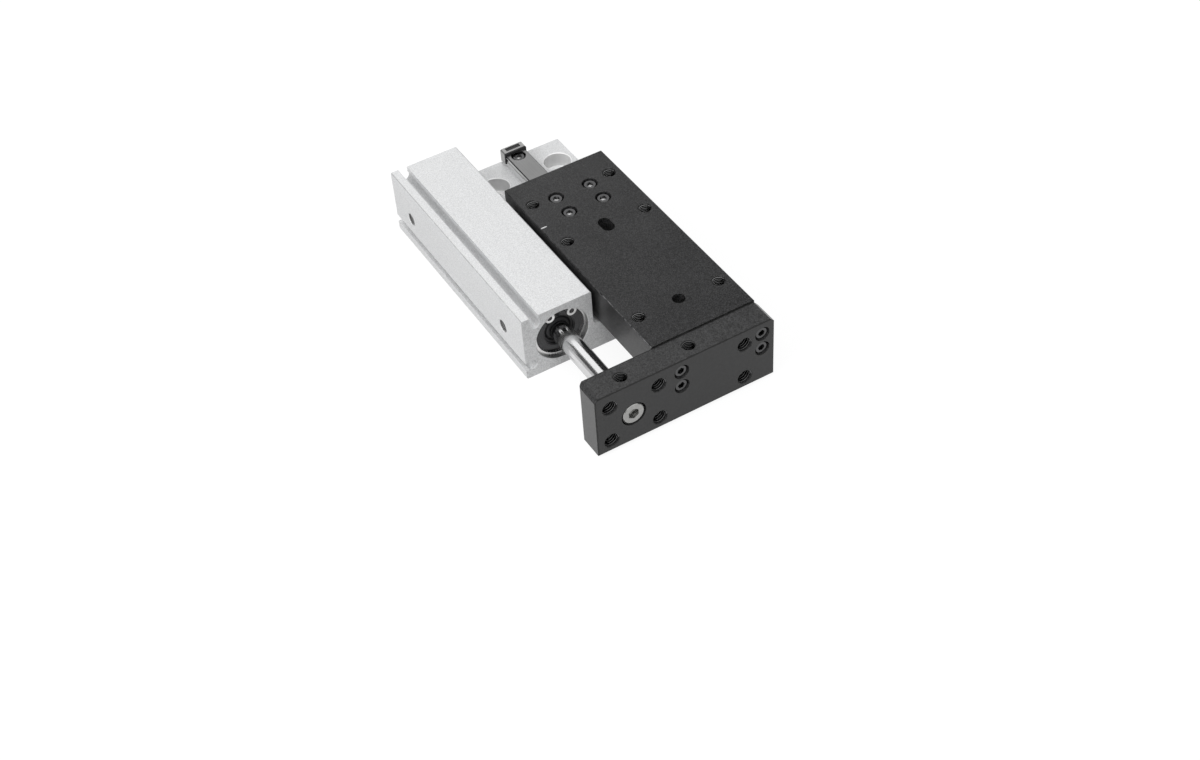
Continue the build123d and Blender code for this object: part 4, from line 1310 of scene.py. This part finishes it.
@dataclass(frozen=True)
class DimWall:
    """A curved wall round the room, seen only in reflections, as the dim side of a studio.

    It stands between two angles in degrees, measured from +X towards +Y.
    """

    name: str
    start: float
    end: float
    bottom: float
    top: float
    brightness: float
    distance: float = 2.2
    panels: int = 48

    def build(self) -> None:
        """Stands the wall and hides it from everything but reflections."""
        points = []
        for i in range(self.panels + 1):
            angle = math.radians(self.start + (self.end - self.start) * i / self.panels)
            points += [(self.distance * math.cos(angle), self.distance * math.sin(angle), z)
                       for z in (self.bottom, self.top)]
        faces = [(2 * i, 2 * i + 1, 2 * i + 3, 2 * i + 2) for i in range(self.panels)]
        material = bpy.data.materials.new(self.name)
        nodes = NodeTree(cleared_tree(material))
        glow = nodes.out("ShaderNodeEmission", {"Color": grey(self.brightness), "Strength": 1.0})
        nodes.add("ShaderNodeOutputMaterial", {"Surface": glow})
        wall = stage_sheet(self.name, points, faces, material)
        for ray in ("visible_camera", "visible_diffuse", "visible_shadow", "visible_transmission"):
            setattr(wall, ray, False)


@dataclass
class Studio:
    """A pale floor, a white surround, dim walls that only reflections see, and three soft lamps."""

    floor_half: float = 6.0
    floor_tone: float = 0.4
    floor_shown: float = 0.12
    floor_glow: float = 0.9
    floor_mirrored: float = 0.3
    floor_mirrored_glow: float = 0.43
    ambient: float = 0.45
    walls: tuple[DimWall, ...] = (
        DimWall("low_wall", 185.0, 472.0, 0.0, 0.6, 0.05),
        DimWall("rear_left_skirt", 112.0, 185.0, 0.0, 0.8, 0.55),
        DimWall("rear_left_wall", 112.0, 185.0, 0.8, 2.2, 0.1),
        DimWall("right_wall", 5.0, 57.0, 0.0, 3.0, 0.02),
    )
    lamps: tuple[SoftLamp, ...] = (
        SoftLamp("left_lamp", (-0.88, -0.11, 0.66), 0.7, 7.8),
        SoftLamp("back_lamp", (0.06, 0.75, 0.93), 1.3, 3.0),
        SoftLamp("front_lamp", (-0.25, -0.75, 1.15), 0.9, 8.4),
    )

    def build(self) -> None:
        """Builds the floor, the surround, the walls and the lamps."""
        low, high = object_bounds()
        self.build_floor(low.z)
        self.build_world()
        for wall in self.walls:
            wall.build()
        for lamp in self.lamps:
            lamp.build((low + high) / 2)

    def build_floor(self, height: float) -> None:
        """Lays the floor. The camera and reflections see it lit up, with the object's shadow on it.

        Args:
            height: where its top is.
        """
        material = bpy.data.materials.new("pale_floor")
        nodes = NodeTree(cleared_tree(material))
        path = nodes.add("ShaderNodeLightPath").outputs
        mirrored = nodes.math("MAXIMUM", path["Is Glossy Ray"], path["Is Transmission Ray"])
        look = nodes.out("ShaderNodeBsdfDiffuse", {"Color": grey(self.floor_tone)})
        for seen, tone, glow_tone in ((mirrored, self.floor_mirrored, self.floor_mirrored_glow),
                                      (path["Is Camera Ray"], self.floor_shown, self.floor_glow)):
            matte = nodes.out("ShaderNodeBsdfDiffuse", {"Color": grey(tone)})
            glow = nodes.out("ShaderNodeEmission", {"Color": grey(glow_tone), "Strength": 1.0})
            lit = nodes.out("ShaderNodeAddShader", {0: matte, 1: glow})
            look = nodes.out("ShaderNodeMixShader", {0: seen, 1: look, 2: lit})
        nodes.add("ShaderNodeOutputMaterial", {"Surface": look})
        half = self.floor_half
        corners = [(-half, -half, height), (half, -half, height), (half, half, height), (-half, half, height)]
        stage_sheet("floor", corners, [(0, 1, 2, 3)], material)

    def build_world(self) -> None:
        """Sets a white surround for the camera and reflections, and a softer one for the light it gives."""
        world = bpy.data.worlds.new("surround")
        nodes = NodeTree(cleared_tree(world))
        path = nodes.add("ShaderNodeLightPath").outputs
        mirrored = nodes.math("MAXIMUM", path["Is Glossy Ray"], path["Is Transmission Ray"])
        seen = nodes.math("MAXIMUM", path["Is Camera Ray"], mirrored)
        white = nodes.out("ShaderNodeBackground", {"Color": grey(1.0), "Strength": 1.0})
        soft = nodes.out("ShaderNodeBackground", {"Color": grey(1.0), "Strength": self.ambient})
        both = nodes.out("ShaderNodeMixShader", {0: seen, 1: soft, 2: white})
        nodes.add("ShaderNodeOutputWorld", {"Surface": both})
        bpy.context.scene.world = world


@dataclass
class PhotoCamera:
    """The camera, fitted to edges and hole centres of the photograph."""

    aim: Point = (-15.6 * MM, -22.0 * MM, 11.0 * MM)
    azimuth: float = 28.078
    elevation: float = 44.683
    roll: float = -4.374
    distance: float = 712.311 * MM
    right_offset: float = -11.162 * MM
    up_offset: float = 40.316 * MM
    focal_pixels: float = 1875.654
    image_width: float = 1200.0
    sensor: float = 36.0
    nearest: float = 0.01
    farthest: float = 50.0

    def build(self) -> None:
        """Sets the camera up and makes it the scene's."""
        turn, rise, roll = (math.radians(a) for a in (self.azimuth, self.elevation, self.roll))
        back = Vector((-math.sin(turn) * math.cos(rise), -math.cos(turn) * math.cos(rise), math.sin(rise)))
        level = Vector((0, 0, 1)).cross(back).normalized()
        above = back.cross(level)
        right = math.cos(roll) * level + math.sin(roll) * above
        up = -math.sin(roll) * level + math.cos(roll) * above
        place = Vector(self.aim) + self.distance * back - self.right_offset * right - self.up_offset * up
        data = bpy.data.cameras.new("photo_camera")
        data.sensor_width = self.sensor
        data.lens = self.focal_pixels * self.sensor / self.image_width
        data.clip_start, data.clip_end = self.nearest, self.farthest
        matrix = Matrix((right, up, back)).transposed().to_4x4()
        matrix.translation = place
        camera = add_object("photo_camera", data)
        camera.matrix_world = matrix
        bpy.context.scene.camera = camera


def main() -> None:
    """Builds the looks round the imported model, in order."""
    logging.basicConfig(level=logging.INFO, format="%(name)s: %(message)s")
    bpy.context.scene.view_settings.view_transform = "Standard"
    for build_effect in (build_grain, build_lines, build_rings, build_edges, build_zone):
        build_effect()
    threads, knurl = make_thread_tree(), make_knurl_tree()
    cylinder, guide, piston, table = CylinderSide(), GuideSide(), PistonSide(), TableSide()
    for part in (cylinder, guide, piston, table):
        part.dress()
    cylinder.build(threads)
    table.build(threads)
    Screws().build(knurl)
    Studio().build()
    PhotoCamera().build()


if __name__ == "__main__":
    main()
